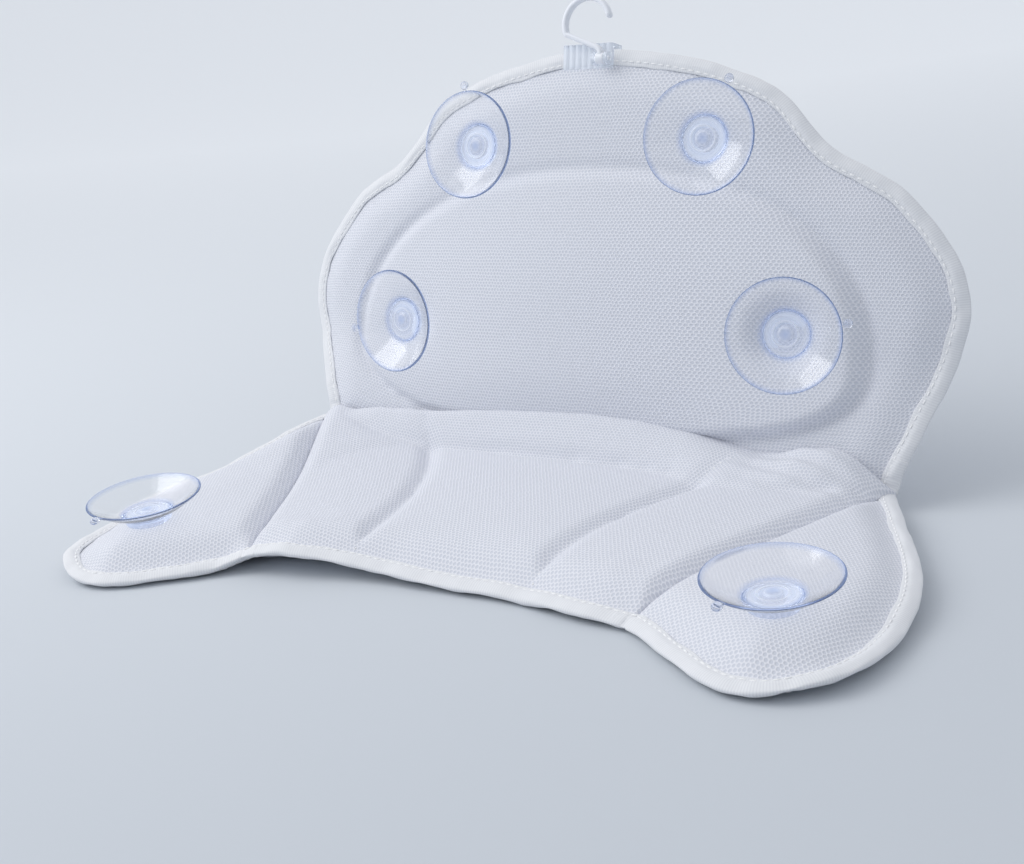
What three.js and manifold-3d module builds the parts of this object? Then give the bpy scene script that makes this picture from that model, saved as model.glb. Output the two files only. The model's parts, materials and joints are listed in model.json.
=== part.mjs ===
// Butterfly bath pillow: a quilted back panel with two hinged wings, a head panel that folds at the waist,
// six suction cups that turn in their eyelets, and a hanging hook on a clear clip.
// Millimetres, +Z up. The pillow lies cup side up: the back panel is on the floor, the head panel is raised.

import * as THREE from "three";
import { mergeVertices } from "three/addons/utils/BufferGeometryUtils.js";
import Module from "manifold-3d";

const wasm = await Module();
wasm.setup();

// Main sizes of the flat outline, on the right of the centre line, which the left mirrors.
// The waist fold lies on y = 0.
const HEAD_HEIGHT = 228;
const BACK_DEPTH = 213;
const WAIST_HALF = 176;
const WING_HALF = 220;

// Points that the outline runs through, as shares of the main sizes
const LOBE_X = 1.155 * WAIST_HALF;
const LOBE_Y = 0.42 * HEAD_HEIGHT;
const LOBE_TOP_X = 0.977 * WAIST_HALF;
const LOBE_TOP_Y = 0.65 * HEAD_HEIGHT;
const DIP_X = 0.744 * WAIST_HALF;
const DIP_Y = 0.76 * HEAD_HEIGHT;
const ARCH_X = 0.56 * WAIST_HALF;
const ARCH_Y = 0.9 * HEAD_HEIGHT;
const WING_SIDE_Y = -0.57 * BACK_DEPTH;
const WING_CORNER_X = 0.95 * WING_HALF;
const WING_CORNER_Y = -0.91 * BACK_DEPTH;
const WING_TIP_X = 0.79 * WING_HALF;
const SEAM_FRONT_X = 0.6 * WAIST_HALF;
const SEAM_FRONT_Y = -0.8 * BACK_DEPTH;

// Inner quilt seams, which curve in from the waist to the front edge
const QUILT_WAIST_X = 0.6 * WAIST_HALF;
const QUILT_BEND_X = 0.31 * WAIST_HALF;
const QUILT_BEND_Y = -0.29 * BACK_DEPTH;
const QUILT_FRONT_X = 0.28 * WAIST_HALF;
const QUILT_FRONT_Y = -0.73 * BACK_DEPTH;

// Layers: mesh fabric outside, wadding between, all pressed together along each sewn edge
const MESH = 1.4;
const GAP = 0.3;
const PRESSED_WADDING = 0.8;
const EDGE_HALF = MESH + GAP + PRESSED_WADDING / 2;
const CROWN_HALF = 10;
const CROWN_SHOULDER = 24;
const FLOOR_FLAT = 0.5;

// Sewn hinges: a round seam cord on the fold line, and the cut edges of the panels on both sides of it
const CORD_R = 1.0;
const SEAM_GAP = CORD_R + GAP;
const SEAM_FLAT = 6;
const CORD_SETBACK = 5;

// Edge binding: a tape folded over the pressed edge
const TAPE = 1.0;
const TAPE_WIDTH = 9;
const TAPE_ROUND = 0.8;
const TAPE_RELIEF = 2.4;
const EDGE_INSET = TAPE + GAP;
const FLANGE = TAPE_WIDTH + 1;

// Puckered roll of mesh that stands up in front of the folded waist
const ROLL_RISE = 11;
const ROLL_HALF = 118;
const ROLL_WIDTH = 30;

// Head panel: how far it leans, its sideways sweep, and the head cushion sewn into it. The cushion's seam is
// widest low down, oval above that level and squarer below it. Each side's dome has a flat middle share.
const HEAD_TILT = 77;
const SWEEP_RADIUS = 1200;
const SWEEP_START = 70;
const CUSHION_HALF_X = 157;
const CUSHION_Y = 0.28 * HEAD_HEIGHT;
const CUSHION_ABOVE = 0.435 * HEAD_HEIGHT;
const CUSHION_BELOW = 0.2 * HEAD_HEIGHT;
const OVAL_ABOVE = 2.2;
const OVAL_BELOW = 3;
const CUSHION_REAR = 18;
const CUSHION_REAR_FLAT = 0.2;
const CUSHION_FACE = 22;
const CUSHION_FACE_FLAT = 0.3;
const BAND_RISE = 6;
const BAND_SHOULDER = 18;

// Suction cup: a clear moulded bell on a hub, with a neck and a button that hold it in an eyelet
const CUP_R = 30;
const CUP_HEIGHT = 14.6;
const CUP_LIP = 1.2;
const CUP_RIM = 0.9;
const HUB_R = 12.2;
const HUB_HEIGHT = 4.4;
const BELL_WALL = 1.3;
const FLARE = 0.6;
const NUB_R = 4;
const NUB_TOP_R = 2.8;
const NUB_HEIGHT = 1.1;
const NECK_R = 4.2;
const NECK_PLAY = 0.4;
const BUTTON_R = 6.7;
const BUTTON = 2.0;
const WASHER_R = 9;
const WASHER = 0.8;
const POCKET_PLAY = 0.7;
const TAB_NECK = 2.4;
const TAB_REACH = 5.2;
const TAB_SETBACK = 0.2;
const BEAD_R = 2.3;

// Where the cups sit, and in degrees how far each turns outwards, leans up and points its tab from +X
const HEAD_UPPER_CUP = { x: 0.39 * WAIST_HALF, y: 0.775 * HEAD_HEIGHT, turn: 5, lean: 0 };
const HEAD_LOWER_CUP = { x: 0.665 * WAIST_HALF, y: 0.34 * HEAD_HEIGHT, turn: 10, lean: -5 };
const WING_CUP = { x: 0.785 * WING_HALF, y: -0.775 * BACK_DEPTH, turn: 0, lean: -4 };
const TAB_TURN = {
  head_upper_left: 95,
  head_upper_right: 62,
  head_lower_left: 190,
  head_lower_right: 12,
  wing_left: 265,
  wing_right: 250,
};

// Hanging hook on a ribbed clip that straddles the binding at the top of the head panel
const CLIP_WIDTH = 30;
const CLIP_X = -3;
const CLIP_LEG = 11;
const CLIP_WALL = 1.7;
const CLIP_PLAY = 0.4;
const CLIP_RIBS = 8;
const CLIP_RIB = 0.8;
const LUG_X = 7;
const LUG_WALL = 2;
const LUG_R = 3.2;
const PIN_R = 1.2;
const PIN_DROP = 8.6;
const PIN_PLAY = 0.4;
const HOOK_WIDTH = 5;
const HOOK_THICK = 3;
const HOOK_EYE_R = 3;
const HOOK_STEM = 5;
const HOOK_R = 13.5;
const HOOK_CENTRE_X = -8.5;
const HOOK_CENTRE_Y = 19;
const HOOK_TIP_ANGLE = 10;
const HOOK_ROOT_ANGLE = 205;

// How finely the curves are divided
const OUTLINE_STEPS = 36;
const WAIST_STEPS = 8;
const WING_STEPS = 18;
const WING_SEAM_STEPS = 7;
const CUP_STEPS = 20;
const HOLE_STEPS = 14;
const PIN_STEPS = 10;
const CORD_STEPS = 8;
const BEAD_STEPS = 8;
const RIB_STEPS = 4;
const CROOK_STEPS = 16;
const QUILT_STEPS = 24;
const LENGTH_STEPS = 600;
const BAND_RINGS = [0.4, 0.88];
const CUSHION_RINGS = [1, 0.92, 0.76, 0.5, 0.22];
const WING_RINGS = [0.35, 0.72];
const BACK_ROWS = [0, 0.05, 0.11, 0.17, 0.24, 0.42, 0.62, 0.82, 1];
const CHANNEL_COLUMNS = [0, 0.14, 0.5, 0.86, 1];
const CENTRE_COLUMNS = [0, 0.1, 0.3, 0.5, 0.7, 0.9, 1];

const MERGE = 1e-4;

const MID = CROWN_HALF - FLOOR_FLAT;
const WAIST_Z = MID + EDGE_HALF;

const FABRIC = { color: 0xe9eaf0, roughness: 0.9, metalness: 0 };
const FILL = { color: 0xf4f4f2, roughness: 1, metalness: 0 };
const TAPE_FINISH = { color: 0xeeece6, roughness: 0.8, metalness: 0 };
const CLEAR_PVC = { color: 0xcfdcf2, roughness: 0.08, metalness: 0, transparent: true, opacity: 0.4 };
const WHITE_PLASTIC = { color: 0xf3f4f8, roughness: 0.35, metalness: 0 };

const vec = (x, y) => new THREE.Vector2(x, y);
const clamp01 = (t) => Math.min(Math.max(t, 0), 1);
const smooth = (t) => clamp01(t) ** 2 * (3 - 2 * clamp01(t));
const crown = (t) => Math.sin((Math.PI / 2) * clamp01(t));
const mirrored = (p) => vec(-p.x, p.y);

// Solids

/** Merges shared corners, drops empty triangles and turns the faces outwards. */
function solid(geometry) {
  const bare = geometry.clone();
  bare.deleteAttribute("normal");
  bare.deleteAttribute("uv");
  const merged = mergeVertices(bare, MERGE);
  const position = merged.attributes.position;
  const corner = (i) => new THREE.Vector3().fromBufferAttribute(position, i);
  const kept = [];
  let volume = 0;
  for (let i = 0; i < merged.index.count; i += 3) {
    const [a, b, c] = [0, 1, 2].map((k) => merged.index.getX(i + k));
    if (a === b || b === c || c === a) continue;
    kept.push([a, b, c]);
    volume += corner(a).dot(corner(b).cross(corner(c)));
  }
  const facing = volume > 0 ? kept : kept.map(([a, b, c]) => [a, c, b]);
  merged.setIndex(facing.flat());
  return merged;
}

function toManifold(geometry) {
  const vertProperties = Float32Array.from(geometry.attributes.position.array);
  const triVerts = Uint32Array.from(geometry.index.array);
  return new wasm.Manifold(new wasm.Mesh({ numProp: 3, vertProperties, triVerts }));
}

function fromManifold(body) {
  const mesh = body.getMesh();
  const geometry = new THREE.BufferGeometry();
  geometry.setAttribute("position", new THREE.BufferAttribute(Float32Array.from(mesh.vertProperties), 3));
  geometry.setIndex(Array.from(mesh.triVerts));
  return geometry;
}

function cut(geometry, tools) {
  return fromManifold(tools.reduce((body, tool) => body.subtract(toManifold(tool)), toManifold(geometry)));
}

function join(geometry, others) {
  return fromManifold(others.reduce((body, other) => body.add(toManifold(other)), toManifold(geometry)));
}

function mirrorX(geometry) {
  return solid(geometry.clone().scale(-1, 1, 1));
}

function rod(radius, from, to, steps) {
  const span = new THREE.Vector3().subVectors(to, from);
  const upright = new THREE.Vector3(0, 1, 0);
  const turn = new THREE.Quaternion().setFromUnitVectors(upright, span.clone().normalize());
  const geometry = new THREE.CylinderGeometry(radius, radius, span.length(), steps);
  geometry.applyQuaternion(turn);
  geometry.translate(...from.clone().addScaledVector(span, 0.5).toArray());
  return solid(geometry);
}

function plate(outline, depth, curveSegments) {
  return new THREE.ExtrudeGeometry(outline, { depth, bevelEnabled: false, curveSegments });
}

function block(low, high) {
  const size = new THREE.Vector3().subVectors(high, low);
  const geometry = new THREE.BoxGeometry(size.x, size.y, size.z);
  geometry.translate(...low.clone().addScaledVector(size, 0.5).toArray());
  return solid(geometry);
}

// Plans: points seen from above and the triangles between them

/** A plan of closed rings, outermost first, that ends in a middle point or, without one, in a hole. */
function ringPlan(rings, middle) {
  const count = rings[0].length;
  const points = rings.flat();
  const faces = [];
  for (let ring = 0; ring + 1 < rings.length; ring++) {
    for (let i = 0; i < count; i++) {
      const j = (i + 1) % count;
      const outer = ring * count;
      const inner = outer + count;
      faces.push([outer + i, outer + j, inner + j], [outer + i, inner + j, inner + i]);
    }
  }
  if (middle) {
    const last = points.length - count;
    for (let i = 0; i < count; i++) faces.push([last + i, last + ((i + 1) % count), points.length]);
    points.push(middle);
  }
  return { points, faces };
}

/** A plan of rows that run front to back over the same columns. */
function gridPlan(rows) {
  const width = rows[0].length;
  const faces = [];
  for (let row = 0; row + 1 < rows.length; row++) {
    for (let column = 0; column + 1 < width; column++) {
      const a = row * width + column;
      const b = a + width;
      faces.push([a, b, b + 1], [a, b + 1, a + 1]);
    }
  }
  return { points: rows.flat(), faces };
}

/** A closed sheet over a plan, between two heights at each point, with walls along its open edges. */
function slab(plan, top, bottom) {
  const count = plan.points.length;
  const corners = [top, bottom].flatMap((height) => plan.points.map((p) => [p.x, p.y, height(p)]));
  const edges = new Map();
  const triangles = [];
  for (const [a, b, c] of plan.faces) {
    triangles.push([a, b, c], [a + count, c + count, b + count]);
    for (const [from, to] of [[a, b], [b, c], [c, a]]) edges.set(`${from},${to}`, [from, to]);
  }
  for (const [from, to] of edges.values()) {
    if (edges.has(`${to},${from}`)) continue;
    triangles.push([from + count, to + count, to], [from + count, to, from]);
  }
  const geometry = new THREE.BufferGeometry();
  geometry.setAttribute("position", new THREE.Float32BufferAttribute(corners.flat(), 3));
  geometry.setIndex(triangles.flat());
  return solid(geometry);
}

/** Height of a plan's flat facets at one place. */
function facetHeight(plan, height, x, y) {
  for (const face of plan.faces) {
    const [a, b, c] = face.map((i) => plan.points[i]);
    const area = (b.x - a.x) * (c.y - a.y) - (c.x - a.x) * (b.y - a.y);
    const wb = ((x - a.x) * (c.y - a.y) - (c.x - a.x) * (y - a.y)) / area;
    const wc = ((b.x - a.x) * (y - a.y) - (x - a.x) * (b.y - a.y)) / area;
    const wa = 1 - wb - wc;
    if (Math.min(wa, wb, wc) >= -1e-6) return wa * height(a) + wb * height(b) + wc * height(c);
  }
  return undefined;
}

function distanceToLine(p, line) {
  let nearest = Infinity;
  for (let i = 0; i + 1 < line.length; i++) {
    const span = line[i + 1].clone().sub(line[i]);
    const along = clamp01(p.clone().sub(line[i]).dot(span) / span.lengthSq());
    nearest = Math.min(nearest, p.distanceTo(line[i].clone().addScaledVector(span, along)));
  }
  return nearest;
}

/** The point that lies a set distance inside each of two lines that meet at a corner. */
function insetCorner(at, inA, inB, insetA, insetB) {
  const cross = inA.x * inB.y - inA.y * inB.x;
  return vec((insetA * inB.y - insetB * inA.y) / cross, (insetB * inA.x - insetA * inB.x) / cross).add(at);
}

/** Evenly spaced stations on a smooth line, each with its outward normal: the line runs anticlockwise. */
function stations(points, steps) {
  const corners = points.map((p) => new THREE.Vector3(p.x, p.y, 0));
  const curve = new THREE.CatmullRomCurve3(corners, false, "centripetal");
  curve.arcLengthDivisions = LENGTH_STEPS;
  const at = (share) => {
    const point = curve.getPointAt(share);
    const tangent = curve.getTangentAt(share);
    return { point: vec(point.x, point.y), out: vec(tangent.y, -tangent.x).normalize() };
  };
  const list = Array.from({ length: steps + 1 }, (_, i) => at(i / steps));
  return { list, at, length: curve.getLength(), line: list.map((s) => s.point) };
}

const inside = (station, inset) => station.point.clone().addScaledVector(station.out, -inset);

/** The points that divide the way from one place to another into equal steps. */
function between(from, to, steps) {
  return Array.from({ length: steps - 1 }, (_, i) => from.clone().lerp(to, (i + 1) / steps));
}

// Outlines

const NOTCH = vec(WAIST_HALF, 0);
const SEAM_FRONT = vec(SEAM_FRONT_X, SEAM_FRONT_Y);
const QUILT_FRONT = vec(QUILT_FRONT_X, QUILT_FRONT_Y);

const headSide = [
  NOTCH,
  vec(LOBE_X, LOBE_Y),
  vec(LOBE_TOP_X, LOBE_TOP_Y),
  vec(DIP_X, DIP_Y),
  vec(ARCH_X, ARCH_Y),
];
const headOutline = stations(
  [...headSide, vec(0, HEAD_HEIGHT), ...headSide.map(mirrored).reverse()],
  OUTLINE_STEPS,
);
const wingOutline = stations(
  [
    SEAM_FRONT,
    vec(WING_TIP_X, -BACK_DEPTH),
    vec(WING_CORNER_X, WING_CORNER_Y),
    vec(WING_HALF, WING_SIDE_Y),
    NOTCH,
  ],
  WING_STEPS,
);

// The wing's hinge seam runs straight from the notch to the front edge
const seamDirection = SEAM_FRONT.clone().sub(NOTCH).normalize();
const towardsWing = vec(-seamDirection.y, seamDirection.x);
const seamDistance = (p) => p.clone().sub(NOTCH).dot(towardsWing);

// Back panel: the centre cell and a channel on each side of it

const quiltCurve = new THREE.QuadraticBezierCurve(
  vec(QUILT_WAIST_X, 0),
  vec(QUILT_BEND_X, QUILT_BEND_Y),
  QUILT_FRONT,
);
const quiltLine = quiltCurve.getPoints(QUILT_STEPS);
const frontLine = [SEAM_FRONT, QUILT_FRONT, mirrored(QUILT_FRONT), mirrored(SEAM_FRONT)];
const frontIn = vec(QUILT_FRONT_Y - SEAM_FRONT_Y, SEAM_FRONT_X - QUILT_FRONT_X).normalize();
const waistIn = vec(0, -1);
const fromWing = towardsWing.clone().negate();

/** Columns of the back panel from right to left, each a share of the way across its cell. */
function backColumns() {
  const rightChannel = CHANNEL_COLUMNS.map((share) => ({ share, channel: true, right: true }));
  const middle = CENTRE_COLUMNS.slice(1, -1).map((share) => ({ share, channel: false }));
  const leftChannel = CHANNEL_COLUMNS.map((share) => ({ share, channel: true, right: false }));
  return [...rightChannel, ...middle, ...leftChannel];
}

/** A point of the back panel, between the waist and a line set in from the front edge. */
function backPoint(column, along, frontInset) {
  const seamWaist = insetCorner(NOTCH, fromWing, waistIn, SEAM_GAP, SEAM_GAP);
  const seamFront = insetCorner(SEAM_FRONT, fromWing, frontIn, SEAM_GAP, frontInset);
  const seam = seamWaist.lerp(seamFront, along);
  const quiltEnd = QUILT_FRONT.clone().add(vec(0, frontInset));
  const quilt = new THREE.QuadraticBezierCurve(
    vec(QUILT_WAIST_X, -SEAM_GAP),
    vec(QUILT_BEND_X, QUILT_BEND_Y),
    quiltEnd,
  ).getPoint(along);
  if (!column.channel) return quilt.clone().lerp(mirrored(quilt), column.share);
  return column.right ? seam.lerp(quilt, column.share) : mirrored(quilt).lerp(mirrored(seam), column.share);
}

const columns = backColumns();
const backRows = [
  ...BACK_ROWS.map((along) => columns.map((column) => backPoint(column, along, FLANGE))),
  columns.map((column) => backPoint(column, 1, EDGE_INSET)),
];
const backPlan = gridPlan(backRows);

function backHalf(p, withWaist) {
  const near = vec(Math.abs(p.x), p.y);
  const sewn = [
    distanceToLine(near, frontLine) - FLANGE,
    -seamDistance(near) - SEAM_GAP,
    distanceToLine(near, quiltLine),
  ];
  if (withWaist) sewn.push(-p.y - SEAM_GAP);
  return EDGE_HALF + (CROWN_HALF - EDGE_HALF) * crown(Math.min(...sewn) / CROWN_SHOULDER);
}

function roll(p) {
  const across = clamp01(1 - (p.x / ROLL_HALF) ** 2);
  const along = clamp01((-p.y - SEAM_GAP) / ROLL_WIDTH);
  return ROLL_RISE * across * Math.sin(Math.PI * along) ** 2;
}

const backCrown = (p) => MID + backHalf(p, true);
const backBelly = (p) => MID - backHalf(p, false);

function backPanel() {
  const fills = [
    ["back_channel_wadding_right", 1, CHANNEL_COLUMNS.length - 2],
    ["back_centre_wadding", CHANNEL_COLUMNS.length, columns.length - CHANNEL_COLUMNS.length - 1],
    ["back_channel_wadding_left", columns.length - CHANNEL_COLUMNS.length + 1, columns.length - 2],
  ];
  const pieces = {
    back_rear_mesh: slab(backPlan, (p) => backCrown(p) + roll(p), (p) => backCrown(p) + roll(p) - MESH),
    back_face_mesh: slab(backPlan, (p) => backBelly(p) + MESH, (p) => Math.max(backBelly(p), 0)),
  };
  for (const [name, first, last] of fills) {
    const plan = gridPlan(backRows.slice(1, -1).map((row) => row.slice(first, last + 1)));
    pieces[name] = slab(plan, (p) => backCrown(p) - MESH - GAP, (p) => backBelly(p) + MESH + GAP);
  }
  return pieces;
}

// Wings: the right one is modelled, and the left one mirrors it

function wingRing(edgeInset, seamInset) {
  const [first, last] = [wingOutline.list[0], wingOutline.list[WING_STEPS]];
  const front = insetCorner(SEAM_FRONT, first.out.clone().negate(), towardsWing, edgeInset, seamInset);
  const notch = insetCorner(NOTCH, last.out.clone().negate(), towardsWing, edgeInset, seamInset);
  const edge = wingOutline.list.slice(1, -1).map((station) => {
    const point = inside(station, edgeInset);
    return seamDistance(point) < seamInset ? notch.clone() : point;
  });
  return [front, ...edge, notch, ...between(notch, front, WING_SEAM_STEPS)];
}

function wingHalf(p) {
  const sewn = Math.min(distanceToLine(p, wingOutline.line) - FLANGE, seamDistance(p) - SEAM_GAP);
  return EDGE_HALF + (CROWN_HALF - EDGE_HALF) * crown(sewn / CROWN_SHOULDER);
}

const wingFlat = wingRing(FLANGE, SEAM_GAP + SEAM_FLAT);
const wingMiddle = wingFlat.reduce((sum, p) => sum.add(p), vec(0, 0)).divideScalar(wingFlat.length);
const wingInner = WING_RINGS.map((share) => wingFlat.map((p) => p.clone().lerp(wingMiddle, share)));
const wingPlan = ringPlan([wingRing(EDGE_INSET, SEAM_GAP), wingFlat, ...wingInner], wingMiddle);
const wingTop = (p) => MID + wingHalf(p);

function wingPieces(seat) {
  const fillPlan = ringPlan([wingFlat, ...wingInner], wingMiddle);
  const belly = (p) => MID - wingHalf(p);
  return {
    rear_mesh: cut(slab(wingPlan, wingTop, (p) => wingTop(p) - MESH), [seat.hole]),
    face_mesh: slab(wingPlan, (p) => belly(p) + MESH, (p) => Math.max(belly(p), 0)),
    wadding: cut(
      slab(fillPlan, (p) => wingTop(p) - MESH - GAP, (p) => belly(p) + MESH + GAP),
      [seat.pocket],
    ),
  };
}

// Head panel, modelled lying back flat with its cup side up, hinged on y = 0

/** How far out towards the cushion's sewn seam a point is, and how far the seam is from the middle there. */
function cushionReach(p) {
  const up = p.y - CUSHION_Y;
  const [half, power] = up > 0 ? [CUSHION_ABOVE, OVAL_ABOVE] : [CUSHION_BELOW, OVAL_BELOW];
  const share = ((Math.abs(p.x) / CUSHION_HALF_X) ** power + (Math.abs(up) / half) ** power) ** (1 / power);
  const reach = share > 0 ? Math.hypot(p.x, up) / share : half;
  return { share, reach };
}

const headMid = (p) => -EDGE_HALF - (p.x ** 2 / (2 * SWEEP_RADIUS)) * smooth(p.y / SWEEP_START);

function headHalf(p, rise, flat) {
  const { share, reach } = cushionReach(p);
  if (share < 1) return EDGE_HALF + rise * crown((1 - share) / (1 - flat));
  const toOval = (share - 1) * reach;
  const sewn = Math.min(distanceToLine(p, headOutline.line) - FLANGE, p.y - SEAM_GAP, toOval);
  return EDGE_HALF + BAND_RISE * crown(sewn / BAND_SHOULDER);
}

const headRear = (p) => headMid(p) + headHalf(p, CUSHION_REAR, CUSHION_REAR_FLAT);
const headFace = (p) => headMid(p) - headHalf(p, CUSHION_FACE, CUSHION_FACE_FLAT);

// The binding stops short of the waist, and the layers under it follow the same stations
const headTrim = (SEAM_GAP + TAPE_RELIEF) / headOutline.length;
const headEdge = headOutline.list.map((_, i) =>
  headOutline.at(Math.min(Math.max(i / OUTLINE_STEPS, headTrim), 1 - headTrim)),
);

function headRing(edgeInset, waistInset) {
  const [first, last] = [headOutline.list[0], headOutline.list[OUTLINE_STEPS]];
  const up = vec(0, 1);
  const right = insetCorner(NOTCH, first.out.clone().negate(), up, edgeInset, waistInset);
  const left = insetCorner(mirrored(NOTCH), last.out.clone().negate(), up, edgeInset, waistInset);
  const edge = headEdge.map((station) => {
    const point = inside(station, edgeInset);
    const corner = point.x > 0 ? right : left;
    return point.y < waistInset ? corner.clone() : point;
  });
  return [right, ...edge, left, ...between(left, right, WAIST_STEPS)];
}

const cushionMiddle = vec(0, CUSHION_Y);
const headFlat = headRing(FLANGE, SEAM_GAP + SEAM_FLAT);
const headOval = headFlat.map((p) => cushionMiddle.clone().lerp(p, 1 / cushionReach(p).share));
const headBand = BAND_RINGS.map((share) => headFlat.map((p, i) => p.clone().lerp(headOval[i], share)));
const headCushion = CUSHION_RINGS.map((share) => headOval.map((p) => cushionMiddle.clone().lerp(p, share)));
const headSewn = headRing(EDGE_INSET, SEAM_GAP);
const headPlan = ringPlan([headSewn, headFlat, ...headBand, ...headCushion], cushionMiddle);

function headPieces(upper, lower) {
  const band = ringPlan([headFlat, ...headBand]);
  const oval = ringPlan(headCushion.slice(1), cushionMiddle);
  const under = (p) => headRear(p) - MESH - GAP;
  const over = (p) => headFace(p) + MESH + GAP;
  const both = (tool) => [tool, mirrorX(tool)];
  return {
    head_rear_mesh: cut(slab(headPlan, headRear, (p) => headRear(p) - MESH), [
      ...both(upper.hole),
      ...both(lower.hole),
    ]),
    head_face_mesh: slab(headPlan, (p) => headFace(p) + MESH, headFace),
    head_wadding: cut(slab(band, under, over), both(upper.pocket)),
    head_cushion: cut(slab(oval, under, over), both(lower.pocket)),
  };
}

// Edge binding

/** A tape folded over an edge: each stop has an outline point, its outward normal and the tape's grip. */
function foldedTape(stops, mid) {
  const half = EDGE_HALF + GAP;
  const section = ({ point, out, depth }) => {
    const wall = half + TAPE;
    const outer = [[depth, wall], [TAPE_ROUND, wall], [0, 0], [TAPE_ROUND, -wall], [depth, -wall]];
    const inner = [[depth, half], [TAPE, half], [TAPE, 0], [TAPE, -half], [depth, -half]];
    return [...outer, ...inner].map(([inset, height]) => {
      const place = point.clone().addScaledVector(out, -inset);
      return [place.x, place.y, mid(place) + height];
    });
  };
  const loop = [0, 1, 2, 3, 4, 9, 8, 7, 6, 5];
  const outwards = new Set([0, 9]);
  const size = loop.length;
  const corners = stops.map(section);
  const triangles = [];
  for (let s = 0; s + 1 < corners.length; s++) {
    loop.forEach((from, i) => {
      const to = loop[(i + 1) % size];
      const [a, b] = [s * size + from, s * size + to];
      if (outwards.has(from)) triangles.push([a, b, a + size], [b, b + size, a + size]);
      else triangles.push([a, b, b + size], [a, b + size, a + size]);
    });
  }
  const last = (corners.length - 1) * size;
  const arm = size / 2;
  for (let k = 0; k + 1 < arm; k++) {
    const [a, b, c, d] = [k, k + 1, k + 1 + arm, k + arm];
    triangles.push([a, c, b], [a, d, c]);
    triangles.push([a + last, b + last, c + last], [a + last, c + last, d + last]);
  }
  const geometry = new THREE.BufferGeometry();
  geometry.setAttribute("position", new THREE.Float32BufferAttribute(corners.flat(2), 3));
  geometry.setIndex(triangles.flat());
  return solid(geometry);
}

function headBinding() {
  return foldedTape(headEdge.map((station) => ({ ...station, depth: TAPE_WIDTH })), headMid);
}

function wingBinding() {
  const first = TAPE_RELIEF / wingOutline.length;
  const last = 1 - (TAPE_WIDTH - TAPE) / wingOutline.length;
  const shares = wingOutline.list.map((_, i) => Math.min(Math.max(i / WING_STEPS, first), last));
  const stops = shares.map((share) => {
    const station = wingOutline.at(share);
    const slant = station.out.dot(towardsWing);
    const room = (seamDistance(station.point) - SEAM_GAP - SEAM_FLAT) / slant;
    const nearNotch = share > 0.5 && slant > 0;
    return { ...station, depth: nearNotch ? Math.min(TAPE_WIDTH, Math.max(room, 2 * TAPE)) : TAPE_WIDTH };
  });
  return foldedTape(stops, () => MID);
}

function backBinding() {
  const sideOut = frontIn.clone().negate();
  const quiltOut = sideOut.clone().add(vec(0, -1)).normalize();
  const right = [
    { point: insetCorner(SEAM_FRONT, fromWing, frontIn, TAPE_RELIEF, 0), out: sideOut },
    { point: QUILT_FRONT, out: quiltOut },
  ];
  const left = right.map(({ point, out }) => ({ point: mirrored(point), out: mirrored(out) })).reverse();
  return foldedTape([...right, ...left].map((stop) => ({ ...stop, depth: TAPE_WIDTH })), () => MID);
}

// Suction cups

/** Seats a cup on a panel's mesh: its frame, and the hole and pocket that its neck and button need. */
function seatCup(site, plan, top) {
  const [turn, lean] = [site.turn, site.lean].map(THREE.MathUtils.degToRad);
  const axis = new THREE.Vector3(Math.sin(turn), 0, Math.cos(turn));
  axis.applyAxisAngle(new THREE.Vector3(1, 0, 0), -lean);
  const origin = new THREE.Vector3(site.x, site.y, facetHeight(plan, top, site.x, site.y));
  const samples = (radius) => {
    const heights = [0];
    for (const share of [0.5, 1]) {
      for (let i = 0; i < HOLE_STEPS; i++) {
        const angle = (2 * Math.PI * i) / HOLE_STEPS;
        const x = site.x + share * radius * Math.cos(angle);
        const y = site.y + share * radius * Math.sin(angle);
        heights.push(new THREE.Vector3(x, y, facetHeight(plan, top, x, y)).sub(origin).dot(axis));
      }
    }
    return heights;
  };
  const hub = Math.max(...samples(HUB_R)) + GAP;
  const washer = Math.min(...samples(WASHER_R)) - MESH - GAP;
  const button = washer - WASHER - GAP;
  const place = (height) => origin.clone().addScaledVector(axis, height);
  const above = place(hub + HUB_HEIGHT);
  const below = place(button - BUTTON - POCKET_PLAY);
  return {
    axis,
    hub: place(hub),
    washerTop: place(washer),
    neck: hub - button,
    hole: rod(NECK_R + NECK_PLAY, place(button), above, HOLE_STEPS),
    pocket: rod(WASHER_R + POCKET_PLAY, below, above, HOLE_STEPS),
  };
}

function revolve(profile, steps) {
  const geometry = new THREE.LatheGeometry(profile.map(([r, z]) => vec(r, z)), steps);
  geometry.rotateX(Math.PI / 2);
  return solid(geometry);
}

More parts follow.
